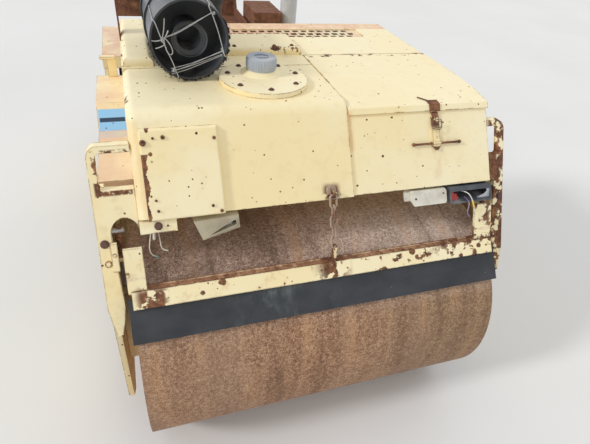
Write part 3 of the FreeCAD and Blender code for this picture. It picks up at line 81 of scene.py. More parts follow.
class Finish:
    """A material under construction, with short calls for its nodes."""

    def __init__(self, name):
        self.material = bpy.data.materials.new(name)
        self.material.use_nodes = True
        self.tree = self.material.node_tree
        self.shader = self.tree.nodes["Principled BSDF"]
        self.place = self.node("ShaderNodeTexCoord").outputs["Object"]

    def node(self, kind, **settings):
        made = self.tree.nodes.new(kind)
        for key, value in settings.items():
            setattr(made, key, value)
        return made

    def feed(self, socket, value):
        if isinstance(value, bpy.types.NodeSocket):
            self.tree.links.new(value, socket)
        elif isinstance(value, (tuple, list)) and socket.type == "RGBA":
            socket.default_value = (*value[:3], 1)
        else:
            socket.default_value = value

    def math(self, operation, first, second=0.0, clamp=False):
        made = self.node("ShaderNodeMath", operation=operation, use_clamp=clamp)
        self.feed(made.inputs[0], first)
        self.feed(made.inputs[1], second)
        return made.outputs[0]

    def mix(self, share, first, second, blend="MIX"):
        made = self.node("ShaderNodeMix", data_type="RGBA", blend_type=blend)
        self.feed(made.inputs[0], share)
        self.feed(made.inputs[6], first)
        self.feed(made.inputs[7], second)
        return made.outputs[2]

    def scaled(self, scale, shift=(0, 0, 0)):
        made = self.node("ShaderNodeMapping")
        self.feed(made.inputs["Vector"], self.place)
        made.inputs["Location"].default_value = shift
        made.inputs["Scale"].default_value = scale
        return made.outputs[0]

    def noise(self, scale, detail=4.0, rough=0.6, stretch=(1, 1, 1), shift=(0, 0, 0),
              distortion=0.0):
        made = self.node("ShaderNodeTexNoise")
        self.feed(made.inputs["Vector"], self.scaled(stretch, shift))
        made.inputs["Scale"].default_value = scale
        made.inputs["Detail"].default_value = detail
        made.inputs["Roughness"].default_value = rough
        made.inputs["Distortion"].default_value = distortion
        return made.outputs[0]

    def step(self, value, low, high, to_low=0.0, to_high=1.0):
        """Smooth step of a value from low to high."""
        made = self.node("ShaderNodeMapRange", interpolation_type="SMOOTHSTEP")
        self.feed(made.inputs["Value"], value)
        self.feed(made.inputs["From Min"], low)
        self.feed(made.inputs["From Max"], high)
        self.feed(made.inputs["To Min"], to_low)
        self.feed(made.inputs["To Max"], to_high)
        return made.outputs[0]

    def ramp(self, value, stops):
        made = self.node("ShaderNodeValToRGB")
        self.feed(made.inputs[0], value)
        points = made.color_ramp.elements
        while len(points) < len(stops):
            points.new(0.5)
        for point, (place, colour) in zip(points, stops):
            point.position = place
            point.color = (*colour, 1)
        return made.outputs[0]

    def axis(self, name):
        made = self.node("ShaderNodeSeparateXYZ")
        self.feed(made.inputs[0], self.place)
        return made.outputs[name]

    def window(self, axis, low, high, soft=0.01):
        """1 between two places along an axis, falling to 0 over a soft edge."""
        value = self.axis(axis)
        rise = self.step(value, low - soft, low + soft)
        fall = self.step(value, high - soft, high + soft, 1.0, 0.0)
        return self.math("MULTIPLY", rise, fall)

    def region(self, x=None, y=None, z=None, soft=0.012):
        """1 inside a box given by pairs of places, any axis of which may be left out."""
        share = None
        for name, pair in (("X", x), ("Y", y), ("Z", z)):
            if pair is not None:
                part = self.window(name, pair[0], pair[1], soft)
                share = part if share is None else self.math("MULTIPLY", share, part)
        return share

    def specks(self, scale, size, rarity, shift=(0, 0, 0)):
        """Small round marks of uneven size at random places, more of them with low rarity."""
        made = self.node("ShaderNodeTexVoronoi")
        wobble = self.noise(scale * 2.2, 2.0, 0.5)
        vector = self.node("ShaderNodeVectorMath", operation="SCALE")
        self.feed(vector.inputs[0], self.scaled((1, 1, 1), shift))
        vector.inputs["Scale"].default_value = 1.0
        self.feed(made.inputs["Vector"], vector.outputs[0])
        made.inputs["Scale"].default_value = scale
        split = self.node("ShaderNodeSeparateColor")
        self.feed(split.inputs[0], made.outputs["Color"])
        chosen = self.step(split.outputs[0], rarity, rarity + 0.02)
        reach = self.math("MULTIPLY", split.outputs[1], size)
        reach = self.math("ADD", reach, size * 0.35)
        spread = self.math("MULTIPLY", wobble, size * 0.9)
        distance = self.math("ADD", made.outputs["Distance"], spread)
        limit = self.math("ADD", reach, size * 0.35)
        inside = self.math("SUBTRACT", limit, distance)
        return self.math("MULTIPLY", self.step(inside, 0.0, size * 0.25), chosen)

    def worn_edges(self, radius, low=0.03, high=0.2):
        """1 along the sharp edges of a mesh."""
        bevel = self.node("ShaderNodeBevel", samples=4)
        bevel.inputs["Radius"].default_value = radius
        shape = self.node("ShaderNodeNewGeometry")
        dot = self.node("ShaderNodeVectorMath", operation="DOT_PRODUCT")
        self.feed(dot.inputs[0], bevel.outputs[0])
        self.feed(dot.inputs[1], shape.outputs["Normal"])
        return self.step(self.math("SUBTRACT", 1.0, dot.outputs["Value"]), low, high)

    def facing_up(self, low=0.3, high=0.95):
        shape = self.node("ShaderNodeNewGeometry")
        split = self.node("ShaderNodeSeparateXYZ")
        self.feed(split.inputs[0], shape.outputs["Normal"])
        return self.step(split.outputs["Z"], low, high)

    def facing_left(self):
        shape = self.node("ShaderNodeNewGeometry")
        split = self.node("ShaderNodeSeparateXYZ")
        self.feed(split.inputs[0], shape.outputs["Normal"])
        return self.step(split.outputs["X"], -0.9, -0.1, 0.85, 0.0)

    def rust(self, shift=(0, 0, 0)):
        grain = self.noise(38, 8.0, 0.7, shift=shift)
        return self.ramp(grain, [
            (0.30, (0.055, 0.022, 0.013)), (0.46, (0.13, 0.050, 0.024)),
            (0.58, (0.25, 0.105, 0.045)), (0.72, (0.42, 0.20, 0.085))])

    def bump(self, height, strength, distance=0.002, rounding=0.0):
        made = self.node("ShaderNodeBump")
        self.feed(made.inputs["Height"], height)
        if rounding:
            edge = self.node("ShaderNodeBevel", samples=4)
            edge.inputs["Radius"].default_value = rounding
            self.feed(made.inputs["Normal"], edge.outputs[0])
        made.inputs["Strength"].default_value = strength
        made.inputs["Distance"].default_value = distance
        self.feed(self.shader.inputs["Normal"], made.outputs[0])

    def done(self, colour, roughness=0.6, metallic=0.0):
        self.feed(self.shader.inputs["Base Color"], colour)
        self.feed(self.shader.inputs["Roughness"], roughness)
        self.feed(self.shader.inputs["Metallic"], metallic)
        return self.material


CREAM = (0.930, 0.750, 0.385)
CREAM_PALE = (0.960, 0.850, 0.565)
CREAM_DULL = (0.830, 0.650, 0.320)
BAND_BLUE = (0.300, 0.600, 0.960)
BAND_NAVY = (0.020, 0.050, 0.105)


def spot(make, places, size, axis="Y"):
    """Round marks of one size at given places, seen along an axis: pairs of the other two."""
    across, along = [name for name in "XYZ" if name != axis]
    wobble = make.noise(90, 3.0, 0.6)
    share = None
    for first, second in places:
        one = make.math("SUBTRACT", make.axis(across), first)
        two = make.math("SUBTRACT", make.axis(along), second)
        reach = make.math("SQRT", make.math("ADD", make.math("MULTIPLY", one, one),
                                            make.math("MULTIPLY", two, two)))
        reach = make.math("ADD", reach, make.math("MULTIPLY", wobble, size * 0.8))
        mark = make.step(reach, size * 1.15, size * 1.45, 1.0, 0.0)
        share = mark if share is None else make.math("MAXIMUM", share, mark)
    return share


def cream_paint(name, chips=0.0, specks=0.55, edges=0.5, tint=0.0, shift=(0, 0, 0),
                bare_places=None, colours=None):
    """Faded cream paint over rusting steel. chips grows the bare patches, specks the
    share of small marks, edges the wear along edges, tint the orange fading. bare_places
    adds rust and colours changes the paint at places on the machine."""
    make = Finish(name)
    cloud = make.noise(2.3, 5.0, 0.55, shift=shift)
    base = make.mix(make.step(cloud, 0.35, 0.68), CREAM, CREAM_PALE)
    base = make.mix(make.math("MULTIPLY", make.facing_up(), 0.60), base, CREAM_PALE)
    streak = make.noise(5.0, 5.0, 0.6, stretch=(9, 9, 0.8), shift=shift)
    base = make.mix(make.step(streak, 0.56, 0.78, 0.0, 0.30), base, CREAM_DULL)
    if tint:
        warm = make.noise(4.0, 5.0, 0.6, shift=shift)
        share = make.step(warm, 0.34, 0.66, tint * 0.15, tint)
        base = make.mix(make.math("MULTIPLY", share, make.facing_up(0.4, 0.9)), base,
                        (0.735, 0.415, 0.285))
    small = make.specks(80, 0.27, 1.0 - specks * 0.17, shift)
    large = make.specks(27, 0.125, 1.0 - specks * 0.13, (3.1, 1.7, 0.4))
    marks = make.math("MAXIMUM", small, large)
    flaking = make.noise(26, 7.0, 0.62, shift=shift)
    patchy = make.noise(3.4, 3.0, 0.5, shift=(shift[0] + 5, shift[1], shift[2]))
    threshold = make.step(patchy, 0.35, 0.70, 0.88 - chips * 0.16, 0.78 - chips * 0.30)
    bare = make.step(make.math("SUBTRACT", flaking, threshold), -0.01, 0.02)
    rim = make.math("MULTIPLY", make.worn_edges(0.006),
                    make.step(flaking, 0.62 - edges * 0.25, 0.70 - edges * 0.2))
    bare = make.math("MAXIMUM", bare, rim)
    bare = make.math("MAXIMUM", bare, marks)
    if bare_places:
        bare = make.math("MAXIMUM", bare, bare_places(make, flaking))
    halo = make.math("MULTIPLY", make.step(flaking, 0.52, 0.66), 0.10 + chips * 0.30)
    base = make.mix(halo, base, (0.66, 0.40, 0.19))
    if colours:
        base = colours(make, base)
    colour = make.mix(bare, base, make.rust(shift))
    height = make.math("ADD", make.math("MULTIPLY", bare, -0.5),
                       make.math("MULTIPLY", make.noise(160, 3.0, 0.6), 0.12))
    height = make.math("ADD", height, make.math("MULTIPLY", cloud, 1.2))
    make.bump(height, 0.45, 0.0016, rounding=0.003)
    rough = make.math("ADD", make.math("MULTIPLY", bare, 0.38), 0.46)
    return make.done(colour, rough)


def flaked(make, flaking, area, share):
    """Rust that covers a share of an area, broken up by the flaking noise."""
    edge = make.math("SUBTRACT", flaking, 0.72 - share * 0.42)
    return make.math("MULTIPLY", make.step(edge, -0.015, 0.03), area)


def bare_on_cover(make, flaking):
    ragged = make.math("MULTIPLY", make.math("SUBTRACT", flaking, 0.5), 0.045)
    height = make.math("MULTIPLY", make.axis("Z"), -0.055)
    reach = make.math("ADD", make.math("ADD", make.axis("X"), ragged), height)
    band = make.step(reach, -0.5722, -0.5712, 1.0, 0.0)
    band = make.math("MULTIPLY", band, make.region(x=(-0.5285, -0.49), z=(0.90, 1.070),
                                                   soft=0.0015))
    heads = spot(make, [(-0.507, 1.122), (-0.517, 1.140), (-0.503, 1.070)], 0.0055)
    return make.math("MAXIMUM", band, heads)


def bare_on_hood(make, flaking):
    crease = flaked(make, flaking, make.region(x=(0.10, 0.60), y=(FRONT + 0.425, FRONT + 0.452),
                                               z=(1.135, 1.20), soft=0.004), 0.42)
    stain = flaked(make, flaking, make.region(x=(-0.045, 0.085), y=(FRONT + 0.435, FRONT + 0.480),
                                              z=(1.165, 1.22), soft=0.012), 0.40)
    eye = flaked(make, flaking, make.region(x=(-0.016, 0.034), y=(-2.0, -0.9), z=(0.918, 0.955),
                                            soft=0.010), 0.72)
    worn = flaked(make, flaking, make.region(x=(-0.57, -0.545), y=(FRONT + 0.05, FRONT + 0.87),
                                             z=(1.135, 1.17), soft=0.004), 0.34)
    share = make.math("MAXIMUM", crease, stain)
    return make.math("MAXIMUM", make.math("MAXIMUM", share, eye), worn)


def hood_stains_and_shade(make, base):
    """Orange fading: drips from the lid's corner and the latch, and the strip behind the engine
    grille. Painted shade: a darker orange along the hood's left bend."""
    cloud = make.noise(7.0, 5.0, 0.6, stretch=(3, 3, 1))
    drip = make.region(x=(0.082, 0.100), y=(-2.0, -0.85), z=(1.030, 1.135), soft=0.010)
    drip = make.math("MULTIPLY", drip, make.step(cloud, 0.38, 0.60, 0.15, 0.60))
    base = make.mix(drip, base, (0.770, 0.450, 0.190))
    below = make.region(x=(0.375, 0.410), y=(-2.0, -0.85), z=(0.935, 1.035), soft=0.012)
    below = make.math("MULTIPLY", below, make.step(cloud, 0.42, 0.62, 0.0, 0.30))
    base = make.mix(below, base, (0.700, 0.470, 0.240))
    # painted shade: the hood's left bend is painted a darker orange where it lies in shade
    bend = make.region(x=(-0.560, -0.529), y=(-2.0, -0.86), z=(0.90, 1.14), soft=0.008)
    bend = make.math("MULTIPLY", bend, make.step(cloud, 0.30, 0.65, 0.30, 0.70))
    base = make.mix(bend, base, (0.830, 0.590, 0.280))
    strip = make.region(y=(FRONT + 0.786, FRONT + 0.90), z=(1.12, 1.18), soft=0.006)
    strip = make.math("MULTIPLY", strip, make.step(cloud, 0.32, 0.60, 0.35, 0.85))
    return make.mix(strip, base, (0.790, 0.450, 0.270))


def bare_on_frame(make, flaking):
    """Rust on the right leg and round the loops, only on the leaning leg plates."""
    lean = make.math("SUBTRACT", make.axis("Y"), make.math("MULTIPLY", make.axis("Z"), LEG_LEAN))
    on_plate = make.math("MULTIPLY", make.step(lean, -1.512, -1.504),
                         make.step(lean, -1.452, -1.444, 1.0, 0.0))
    leg = flaked(make, flaking, make.region(x=(0.600, 0.700), z=(0.60, 1.10)), 0.62)
    loop = flaked(make, flaking, make.region(x=(0.575, 0.640), z=(0.93, 1.06), soft=0.006), 0.95)
    inner = flaked(make, flaking, make.region(x=(-0.656, -0.560), z=(0.968, 1.076),
                                              soft=0.003), 0.58)
    inner = make.math("MULTIPLY", inner, make.facing_up(0.85, 0.6))
    share = make.math("MAXIMUM", make.math("MAXIMUM", leg, loop), inner)
    return make.math("MULTIPLY", share, on_plate)


def bare_on_beam(make, flaking):
    """Rusted ledge under the crease, a large patch in the middle and tattered ends."""
    left = flaked(make, flaking, make.region(x=(-0.585, -0.505), y=(-2.0, -0.9), z=(0.66, 0.745)),
                  0.72)
    middle = flaked(make, flaking, make.region(x=(-0.045, 0.045), y=(-2.0, -0.9), soft=0.03), 0.62)
    right = flaked(make, flaking, make.region(x=(0.38, 0.62), y=(-2.0, -0.9), soft=0.06), 0.50)
    spots = make.specks(27, 0.30, 0.48, (0.7, 0.2, 0.9))
    spots = make.math("MULTIPLY", spots, make.region(y=(-2.0, -0.9), z=(0.66, 0.75)))
    share = make.math("MAXIMUM", left, middle)
    share = make.math("MAXIMUM", share, spots)
    return make.math("MAXIMUM", share, right)


def ledge_tone(make, base):
    """Tan rust over the beam's ledge, with a paler line where its edge is rubbed."""
    grain = make.noise(60, 5.0, 0.7)
    tan = make.ramp(grain, [(0.35, (0.150, 0.062, 0.032)), (0.52, (0.330, 0.160, 0.085)),
                            (0.70, (0.560, 0.350, 0.200))])
    ledge = make.region(z=(0.700, 0.800), y=(FRONT - 0.2262, FRONT - 0.100), soft=0.0015)
    ledge = make.math("MULTIPLY", ledge, make.facing_up(0.6, 0.9))
    base = make.mix(ledge, base, tan)
    line = make.region(z=(0.700, 0.800), y=(FRONT - 0.209, FRONT - 0.205), soft=0.001)
    line = make.math("MULTIPLY", line, make.step(grain, 0.42, 0.60, 0.2, 0.8))
    return make.mix(line, base, (0.72, 0.56, 0.38))


def bare_on_strap(make, flaking):
    """Dark handle bar and knob, and a rusted top of the strap."""
    bars = make.math("SUBTRACT", 1.0, make.region(x=(0.3765, 0.4055), z=(1.030, 1.2), soft=0.001))
    top = flaked(make, flaking, make.region(x=(0.370, 0.410), z=(1.078, 1.14)), 0.7)
    return make.math("MAXIMUM", bars, top)


def rail_band(make, base):
    """Blue band with a navy line on the left rail's step, and pinkish fading below it."""
    front = (FRONT + 0.38, FRONT + 0.56)
    pink = make.region(x=(-0.675, -0.555), y=(FRONT + 0.09, FRONT + 0.44), z=(0.85, 0.9035),
                       soft=0.006)
    pink = make.math("MULTIPLY", pink, make.step(make.noise(6.0, 4.0, 0.5), 0.35, 0.62, 0.25, 0.8))
    base = make.mix(pink, base, (0.660, 0.350, 0.260))
    chipped = make.step(make.noise(30, 6.0, 0.6), 0.66, 0.70, 1.0, 0.0)
    blue = make.region(x=(-0.6595, -0.568), y=front, z=(0.9055, 0.9630), soft=0.0012)
    base = make.mix(make.math("MULTIPLY", blue, chipped), base, BAND_BLUE)
    navy = make.region(x=(-0.6560, -0.570), y=front, z=(0.9285, 0.9400), soft=0.0010)
    return make.mix(make.math("MULTIPLY", navy, chipped), base, BAND_NAVY)


def drum_steel(name):
    """Rolled steel: fine speckled rust with soft wide streaks along the rolling direction, with
    painted shade and painted sunlight on its upper part.
    """
    make = Finish(name)
    grain = make.noise(300, 2.0, 0.7)
    coarse = make.noise(95, 4.0, 0.7)
    streak = make.noise(1.0, 5.0, 0.60, stretch=(15, 1.6, 1.6))
    band = make.noise(1.0, 3.0, 0.5, stretch=(4, 0.8, 0.8), shift=(4, 0, 0))
    mixed = make.math("ADD", make.math("MULTIPLY", grain, 0.45),
                      make.math("MULTIPLY", coarse, 0.35))
    mixed = make.math("ADD", mixed, make.math("MULTIPLY", streak, 0.20))
    warm = make.ramp(mixed, [(0.40, (0.140, 0.063, 0.033)), (0.50, (0.345, 0.178, 0.092)),
                             (0.60, (0.600, 0.400, 0.250))])
    brown = make.ramp(mixed, [(0.40, (0.120, 0.065, 0.048)), (0.50, (0.335, 0.212, 0.156)),
                              (0.60, (0.700, 0.540, 0.445))])
    # painted light: the upper part turns paler towards +X, where the sun reaches the drum under
    # the hood; further left it keeps the darker painted shade of the hood's shadow
    painted_sunlit_share = make.math("MULTIPLY", make.step(make.axis("X"), -0.20, 0.35), 0.90)
    brown = make.mix(painted_sunlit_share, brown, make.ramp(mixed, [
        (0.40, (0.260, 0.165, 0.125)), (0.50, (0.620, 0.460, 0.370)),
        (0.60, (0.860, 0.760, 0.665))]))
    warm = make.mix(make.step(make.axis("X"), 0.0, 0.40, 0.0, 0.30), warm, (0.130, 0.110, 0.060))
    # painted shade: above the wiper line the drum is a cooler mauve-brown, the tone of the hood's
    # shade over it; below it stays orange
    base = make.mix(make.step(make.axis("Z"), 0.56, 0.70), warm, brown)
    base = make.mix(make.step(streak, 0.53, 0.70, 0.0, 0.42), base, (0.470, 0.235, 0.085))
    base = make.mix(make.step(band, 0.45, 0.72, 0.0, 0.35), base, (0.300, 0.205, 0.150))
    base = make.mix(make.step(streak, 0.47, 0.34, 0.0, 0.22), base, (0.120, 0.070, 0.045))
    make.bump(mixed, 0.5, 0.002, rounding=0.004)
    return make.done(base, 0.80)


def rusty(name, tone=(0.20, 0.085, 0.05), share=(0.35, 0.7)):
    make = Finish(name)
    colour = make.mix(make.step(make.noise(9, 5.0, 0.6), *share), make.rust(), tone)
    pale = make.step(make.noise(110, 4.0, 0.7), 0.56, 0.68, 0.0, 0.45)
    colour = make.mix(pale, colour, tuple(min(1.0, part * 2.0 + 0.05) for part in tone))
    make.bump(make.noise(120, 6.0, 0.7), 0.6, 0.0015)
    return make.done(colour, 0.88)


def plain(name, colour, second=None, roughness=0.6, metallic=0.0, scale=14.0, bump=0.2,
          lit=None):
    """Moulded or coated surface with dust clouds of a second colour; lit, when given, is a painted
    highlight colour on faces turned to the left.
    """
    make = Finish(name)
    second = second or tuple(min(1.0, part * 1.35 + 0.02) for part in colour)
    cloud = make.noise(scale, 6.0, 0.6)
    base = make.mix(make.step(cloud, 0.38, 0.72), colour, second)
    # painted highlight: faces turned to the left, towards the key lamp, are painted a lighter
    # colour
    if lit:
        base = make.mix(make.facing_left(), base, lit)
    dust = make.math("MULTIPLY", make.facing_up(0.2, 0.9), make.step(cloud, 0.45, 0.7, 0.0, 0.25))
    base = make.mix(dust, base, (0.55, 0.48, 0.38))
    make.bump(make.noise(150, 4.0, 0.6), bump, 0.001)
    rough = make.step(cloud, 0.3, 0.7, roughness - 0.08, roughness + 0.1)
    return make.done(base, rough, metallic)


def rubber_strip(name):
    make = Finish(name)
    cloud = make.noise(5.0, 6.0, 0.6, stretch=(1, 1, 2))
    base = make.mix(make.step(cloud, 0.35, 0.7), (0.022, 0.025, 0.030), (0.044, 0.048, 0.055))
    smear = make.region(x=(-0.30, -0.02), soft=0.09)
    smear = make.math("MULTIPLY", smear, make.step(make.noise(9, 6.0, 0.6, stretch=(1, 1, 0.5)),
                                                    0.48, 0.72))
    base = make.mix(make.math("MULTIPLY", smear, 0.40), base, (0.26, 0.29, 0.29))
    base = make.mix(make.specks(30, 0.07, 0.93), base, (0.48, 0.46, 0.42))
    make.bump(make.noise(90, 5.0, 0.6), 0.2, 0.001)
    return make.done(base, 0.62)


def floor_finish():
    make = Finish("floor")
    cloud = make.noise(0.6, 4.0, 0.5)
    colour = make.mix(make.step(cloud, 0.3, 0.7), (0.77, 0.76, 0.74), (0.80, 0.79, 0.775))
    return make.done(colour, 0.9)


def make_finishes():
    return {
        "hood": cream_paint("hood_paint", specks=0.60, edges=0.5, bare_places=bare_on_hood,
                            colours=hood_stains_and_shade),
        "beam": cream_paint("beam_paint", chips=0.75, specks=1.0, edges=1.1,
                            bare_places=bare_on_beam, colours=ledge_tone),
        "frame": cream_paint("frame_paint", chips=0.35, specks=0.7, edges=0.9,
                             bare_places=bare_on_frame),
        "rail": cream_paint("rail_paint", chips=0.3, specks=0.6, edges=0.8, tint=0.55,
                            colours=rail_band),
        "deck": cream_paint("deck_paint", chips=0.5, specks=0.7, edges=0.8, tint=0.95),
        "cover": cream_paint("cover_paint", specks=0.95, edges=0.7, shift=(7, 2, 1),
                             bare_places=bare_on_cover),
        "drum": drum_steel("drum_rust"),
        "rubber": rubber_strip("wiper_rubber"),
        "rust": rusty("rusty_steel"),
        "dark_rust": rusty("dark_rust", (0.135, 0.070, 0.055), (0.2, 0.5)),
        "chain": rusty("chain_rust", (0.40, 0.29, 0.21), (0.32, 0.52)),
        "strap": cream_paint("strap_paint", chips=0.7, specks=1.0, edges=1.0, shift=(1, 6, 3),
                             bare_places=bare_on_strap),
        "wrap": plain("torn_film", (0.035, 0.033, 0.034), (0.16, 0.14, 0.13), 0.45, 0.0, 60),
        "clear": plain("cracked_lens", (0.42, 0.44, 0.46), (0.62, 0.64, 0.66), 0.2),
        "steel": plain("bare_steel", (0.42, 0.41, 0.40), (0.30, 0.22, 0.17), 0.35, 0.85),
        "wire": plain("zinc_wire", (0.52, 0.53, 0.54), (0.40, 0.38, 0.35), 0.45, 0.7, 60),
        "cap": plain("grey_moulding", (0.36, 0.40, 0.46), (0.46, 0.49, 0.53), 0.6),
        # the canister's left side carries a painted highlight
        "canister": plain("black_moulding", (0.024, 0.026, 0.029), (0.050, 0.050, 0.052), 0.42,
                          lit=(0.170, 0.185, 0.205)),
        "iron": plain("oily_iron", (0.045, 0.040, 0.036), (0.10, 0.075, 0.055), 0.5),
        "black": plain("black_plastic", (0.028, 0.029, 0.033), (0.06, 0.06, 0.065), 0.5),
        "housing": plain("grey_housing", (0.060, 0.066, 0.076), (0.130, 0.140, 0.160), 0.45),
        "white": plain("white_plastic", (0.76, 0.73, 0.63), (0.56, 0.51, 0.42), 0.35),
        "lamp": plain("lamp_cream", (0.47, 0.41, 0.28), (0.30, 0.25, 0.17), 0.6),
        "light_grey": plain("light_grey_paint", (0.55, 0.56, 0.55), (0.68, 0.68, 0.66), 0.5),
        "dark_paint": plain("dark_paint", (0.05, 0.05, 0.05), (0.12, 0.09, 0.07), 0.55),
        "red": plain("red_lens", (0.35, 0.012, 0.012), (0.45, 0.05, 0.04), 0.25),
        "green": plain("green_sleeve", (0.24, 0.34, 0.27), (0.42, 0.46, 0.42), 0.4),
        "yellow": plain("yellow_sleeve", (0.80, 0.52, 0.05), (0.86, 0.66, 0.20), 0.4),
        "purple": plain("purple_wire", (0.24, 0.16, 0.28), (0.46, 0.36, 0.46), 0.45),
    }


finish_of_slot = {
    "cream_paint": "hood", "drum_steel": "drum", "rubber_strip": "rubber",
    "rubber_strap": "strap", "chain_steel": "chain", "bare_steel": "steel",
    "grey_plastic": "cap", "engine_iron": "iron", "black_plastic": "black",
    "rusty_steel": "rust", "white_plastic": "white", "lamp_cream": "lamp",
    "light_grey": "light_grey", "dark_paint": "dark_paint", "red_lens": "red",
    "grille_steel": "deck", "wire_insulation": "white",
}
finish_of_node = {
    "front_scraper": "beam", "rear_scraper": "beam", "front_legs": "frame",
    "rear_legs": "frame", "front_yoke": "frame", "rear_yoke": "frame",
    "side_rails": "rail", "cradle_beams": "frame", "front_hub_caps": "frame",
    "rear_hub_caps": "frame", "rear_deck": "deck", "floor_plate": "frame",
    "air_canister": "canister", "front_cover": "cover", "filler_flange": "cover",
    "tail_lamp": "housing",
}


def dress_nodes(finishes):
    for name, node in nodes.items():
        finish = finish_of_node.get(name) or finish_of_slot[slot_of_node[name]]
        node.data.materials.clear()
        node.data.materials.append(finishes[finish])


# Cords: the wires under the hood, with the same control points as in the CAD source

WIRE_RADIUS = 0.0017
LEFT_WIRES = (
    ((-0.522, -0.110, 0.9012), (-0.523, -0.116, 0.876), (-0.534, -0.148, 0.848),
     (-0.537, -0.151, 0.822), (-0.530, -0.151, 0.800), (-0.514, -0.149, 0.792)),
    ((-0.508, -0.110, 0.9012), (-0.508, -0.116, 0.876), (-0.505, -0.148, 0.842),
     (-0.503, -0.151, 0.818), (-0.486, -0.152, 0.813)),
    ((-0.516, -0.110, 0.9012), (-0.517, -0.117, 0.877), (-0.521, -0.148, 0.856)),
)
TAIL_WIRES = (
    ((0.450, -0.127, 0.898), (0.478, -0.138, 0.896), (0.496, -0.158, 0.897),
     (0.502, -0.177, 0.885), (0.511, -0.183, 0.864), (0.520, -0.188, 0.844),
     (0.528, -0.193, 0.822)),
    ((0.497, -0.146, 0.873), (0.496, -0.180, 0.875), (0.494, -0.184, 0.849),
     (0.503, -0.179, 0.826), (0.521, -0.176, 0.806)),
)


def at(x, y, z):
    """A place on the front module, its y counted from the front axle."""
    return Vector((x, y + FRONT, z))


def spline_object(name, runs, radius, finish, body):
    """Round wire along one or more open NURBS splines."""
    data = bpy.data.curves.new(name, "CURVE")
    data.dimensions = "3D"
    data.bevel_depth = radius
    data.bevel_resolution = 3
    data.resolution_u = 10
    data.use_fill_caps = True
    for run in runs:
        spline = data.splines.new("NURBS")
        spline.points.add(len(run) - 1)
        for point, place in zip(spline.points, run):
            point.co = (*place, 1)
        spline.order_u = 3
        spline.use_endpoint_u = True
    made = bpy.data.objects.new(name, data)
    bpy.context.collection.objects.link(made)
    data.materials.append(finishes[finish])
    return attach(made, body)


def centreline(obj):
    """Points along a wire, read from its own spline."""
    bare = obj.data.copy()
    bare.bevel_depth = 0
    probe = bpy.data.objects.new("probe", bare)
    mesh = bpy.data.meshes.new_from_object(probe)
    points = [obj.matrix_world @ vertex.co for vertex in mesh.vertices]
    bpy.data.objects.remove(probe)
    bpy.data.meshes.remove(mesh)
    bpy.data.curves.remove(bare)
    return points


def sleeve(name, wire, share, radius, finish, body="front_module"):
    """A tube over part of a wire: share is where it starts and ends, from 0 to 1."""
    points = centreline(wire)
    first, last = (round(part * (len(points) - 1)) for part in share)
    mesh = bmesh.new()
    sweep(mesh, points[first:last + 1], radius)
    return piece(name, mesh, finish, body)


# columns: node, its wire's number, length in metres, wire finish, far end, then the
# piece at its end: name, share of the wire that it covers, radius, finish and slot
CORDS = (
    ("left_wires", 0, 0.132, "white", "connector",
     ("crimped_sleeve", (0.88, 1.0), 0.0030, "green", "wire_insulation")),
    ("left_wires", 1, 0.109, "white", "connector",
     ("bare_terminal", (0.80, 1.0), 0.0026, "white", "wire_insulation")),
    ("left_wires", 2, 0.0605, "white", "connector",
     ("wire_connector", (0.62, 1.0), 0.0042, "white", "white_plastic")),
    ("tail_wires", 0, 0.148, "white", "bare",
     ("yellow_sleeve", (0.56, 0.80), 0.0030, "yellow", "wire_insulation")),
    ("tail_wires", 1, 0.105, "purple", "connector",
     ("purple_terminal", (0.82, 1.0), 0.0028, "purple", "wire_insulation")),
)


def add_cords():
    wires = {"left_wires": LEFT_WIRES, "tail_wires": TAIL_WIRES}
    for node, number, length, finish, far_end, end in CORDS:
        points = [at(*place) for place in wires[node][number]]
        wire = spline_object(f"{node}_{number}", [points], WIRE_RADIUS, finish,
                             "front_module")
        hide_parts(node)
        name, share, radius, end_finish, slot = end
        tip = sleeve(name, wire, share, radius, end_finish)


# Small pieces in mesh code

def piece(name, mesh, finish, body, smooth_below=0.6):
    bmesh.ops.recalc_face_normals(mesh, faces=mesh.faces[:])
    for edge in mesh.edges:
        edge.smooth = edge.is_manifold and edge.calc_face_angle(0.0) < smooth_below
    for face in mesh.faces:
        face.smooth = True
    data = bpy.data.meshes.new(name)
    mesh.to_mesh(data)
    mesh.free()
    made = bpy.data.objects.new(name, data)
    bpy.context.collection.objects.link(made)
    data.materials.append(finishes[finish])
    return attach(made, body)


def turned(mesh, place, axis, profile, sides=16, twist=0.0, grip=0.0):
    """Solid round an axis through (radius, height) pairs; grip makes every second
    corner stand out, as on a ribbed cap."""
    turn = Vector(axis).to_track_quat("Z", "Y").to_matrix()
    rings = []
    for radius, height in profile:
        ring = []
        for number in range(sides):
            angle = twist + math.tau * number / sides
            reach = radius + (grip if number % 2 else 0.0)
            local = Vector((reach * math.cos(angle), reach * math.sin(angle), height))
            ring.append(mesh.verts.new(Vector(place) + turn @ local))
        rings.append(ring)
    for lower, upper in zip(rings, rings[1:]):
        for number in range(sides):
            after = (number + 1) % sides
            mesh.faces.new((lower[number], lower[after], upper[after], upper[number]))
    mesh.faces.new(rings[0][::-1])
    mesh.faces.new(rings[-1])


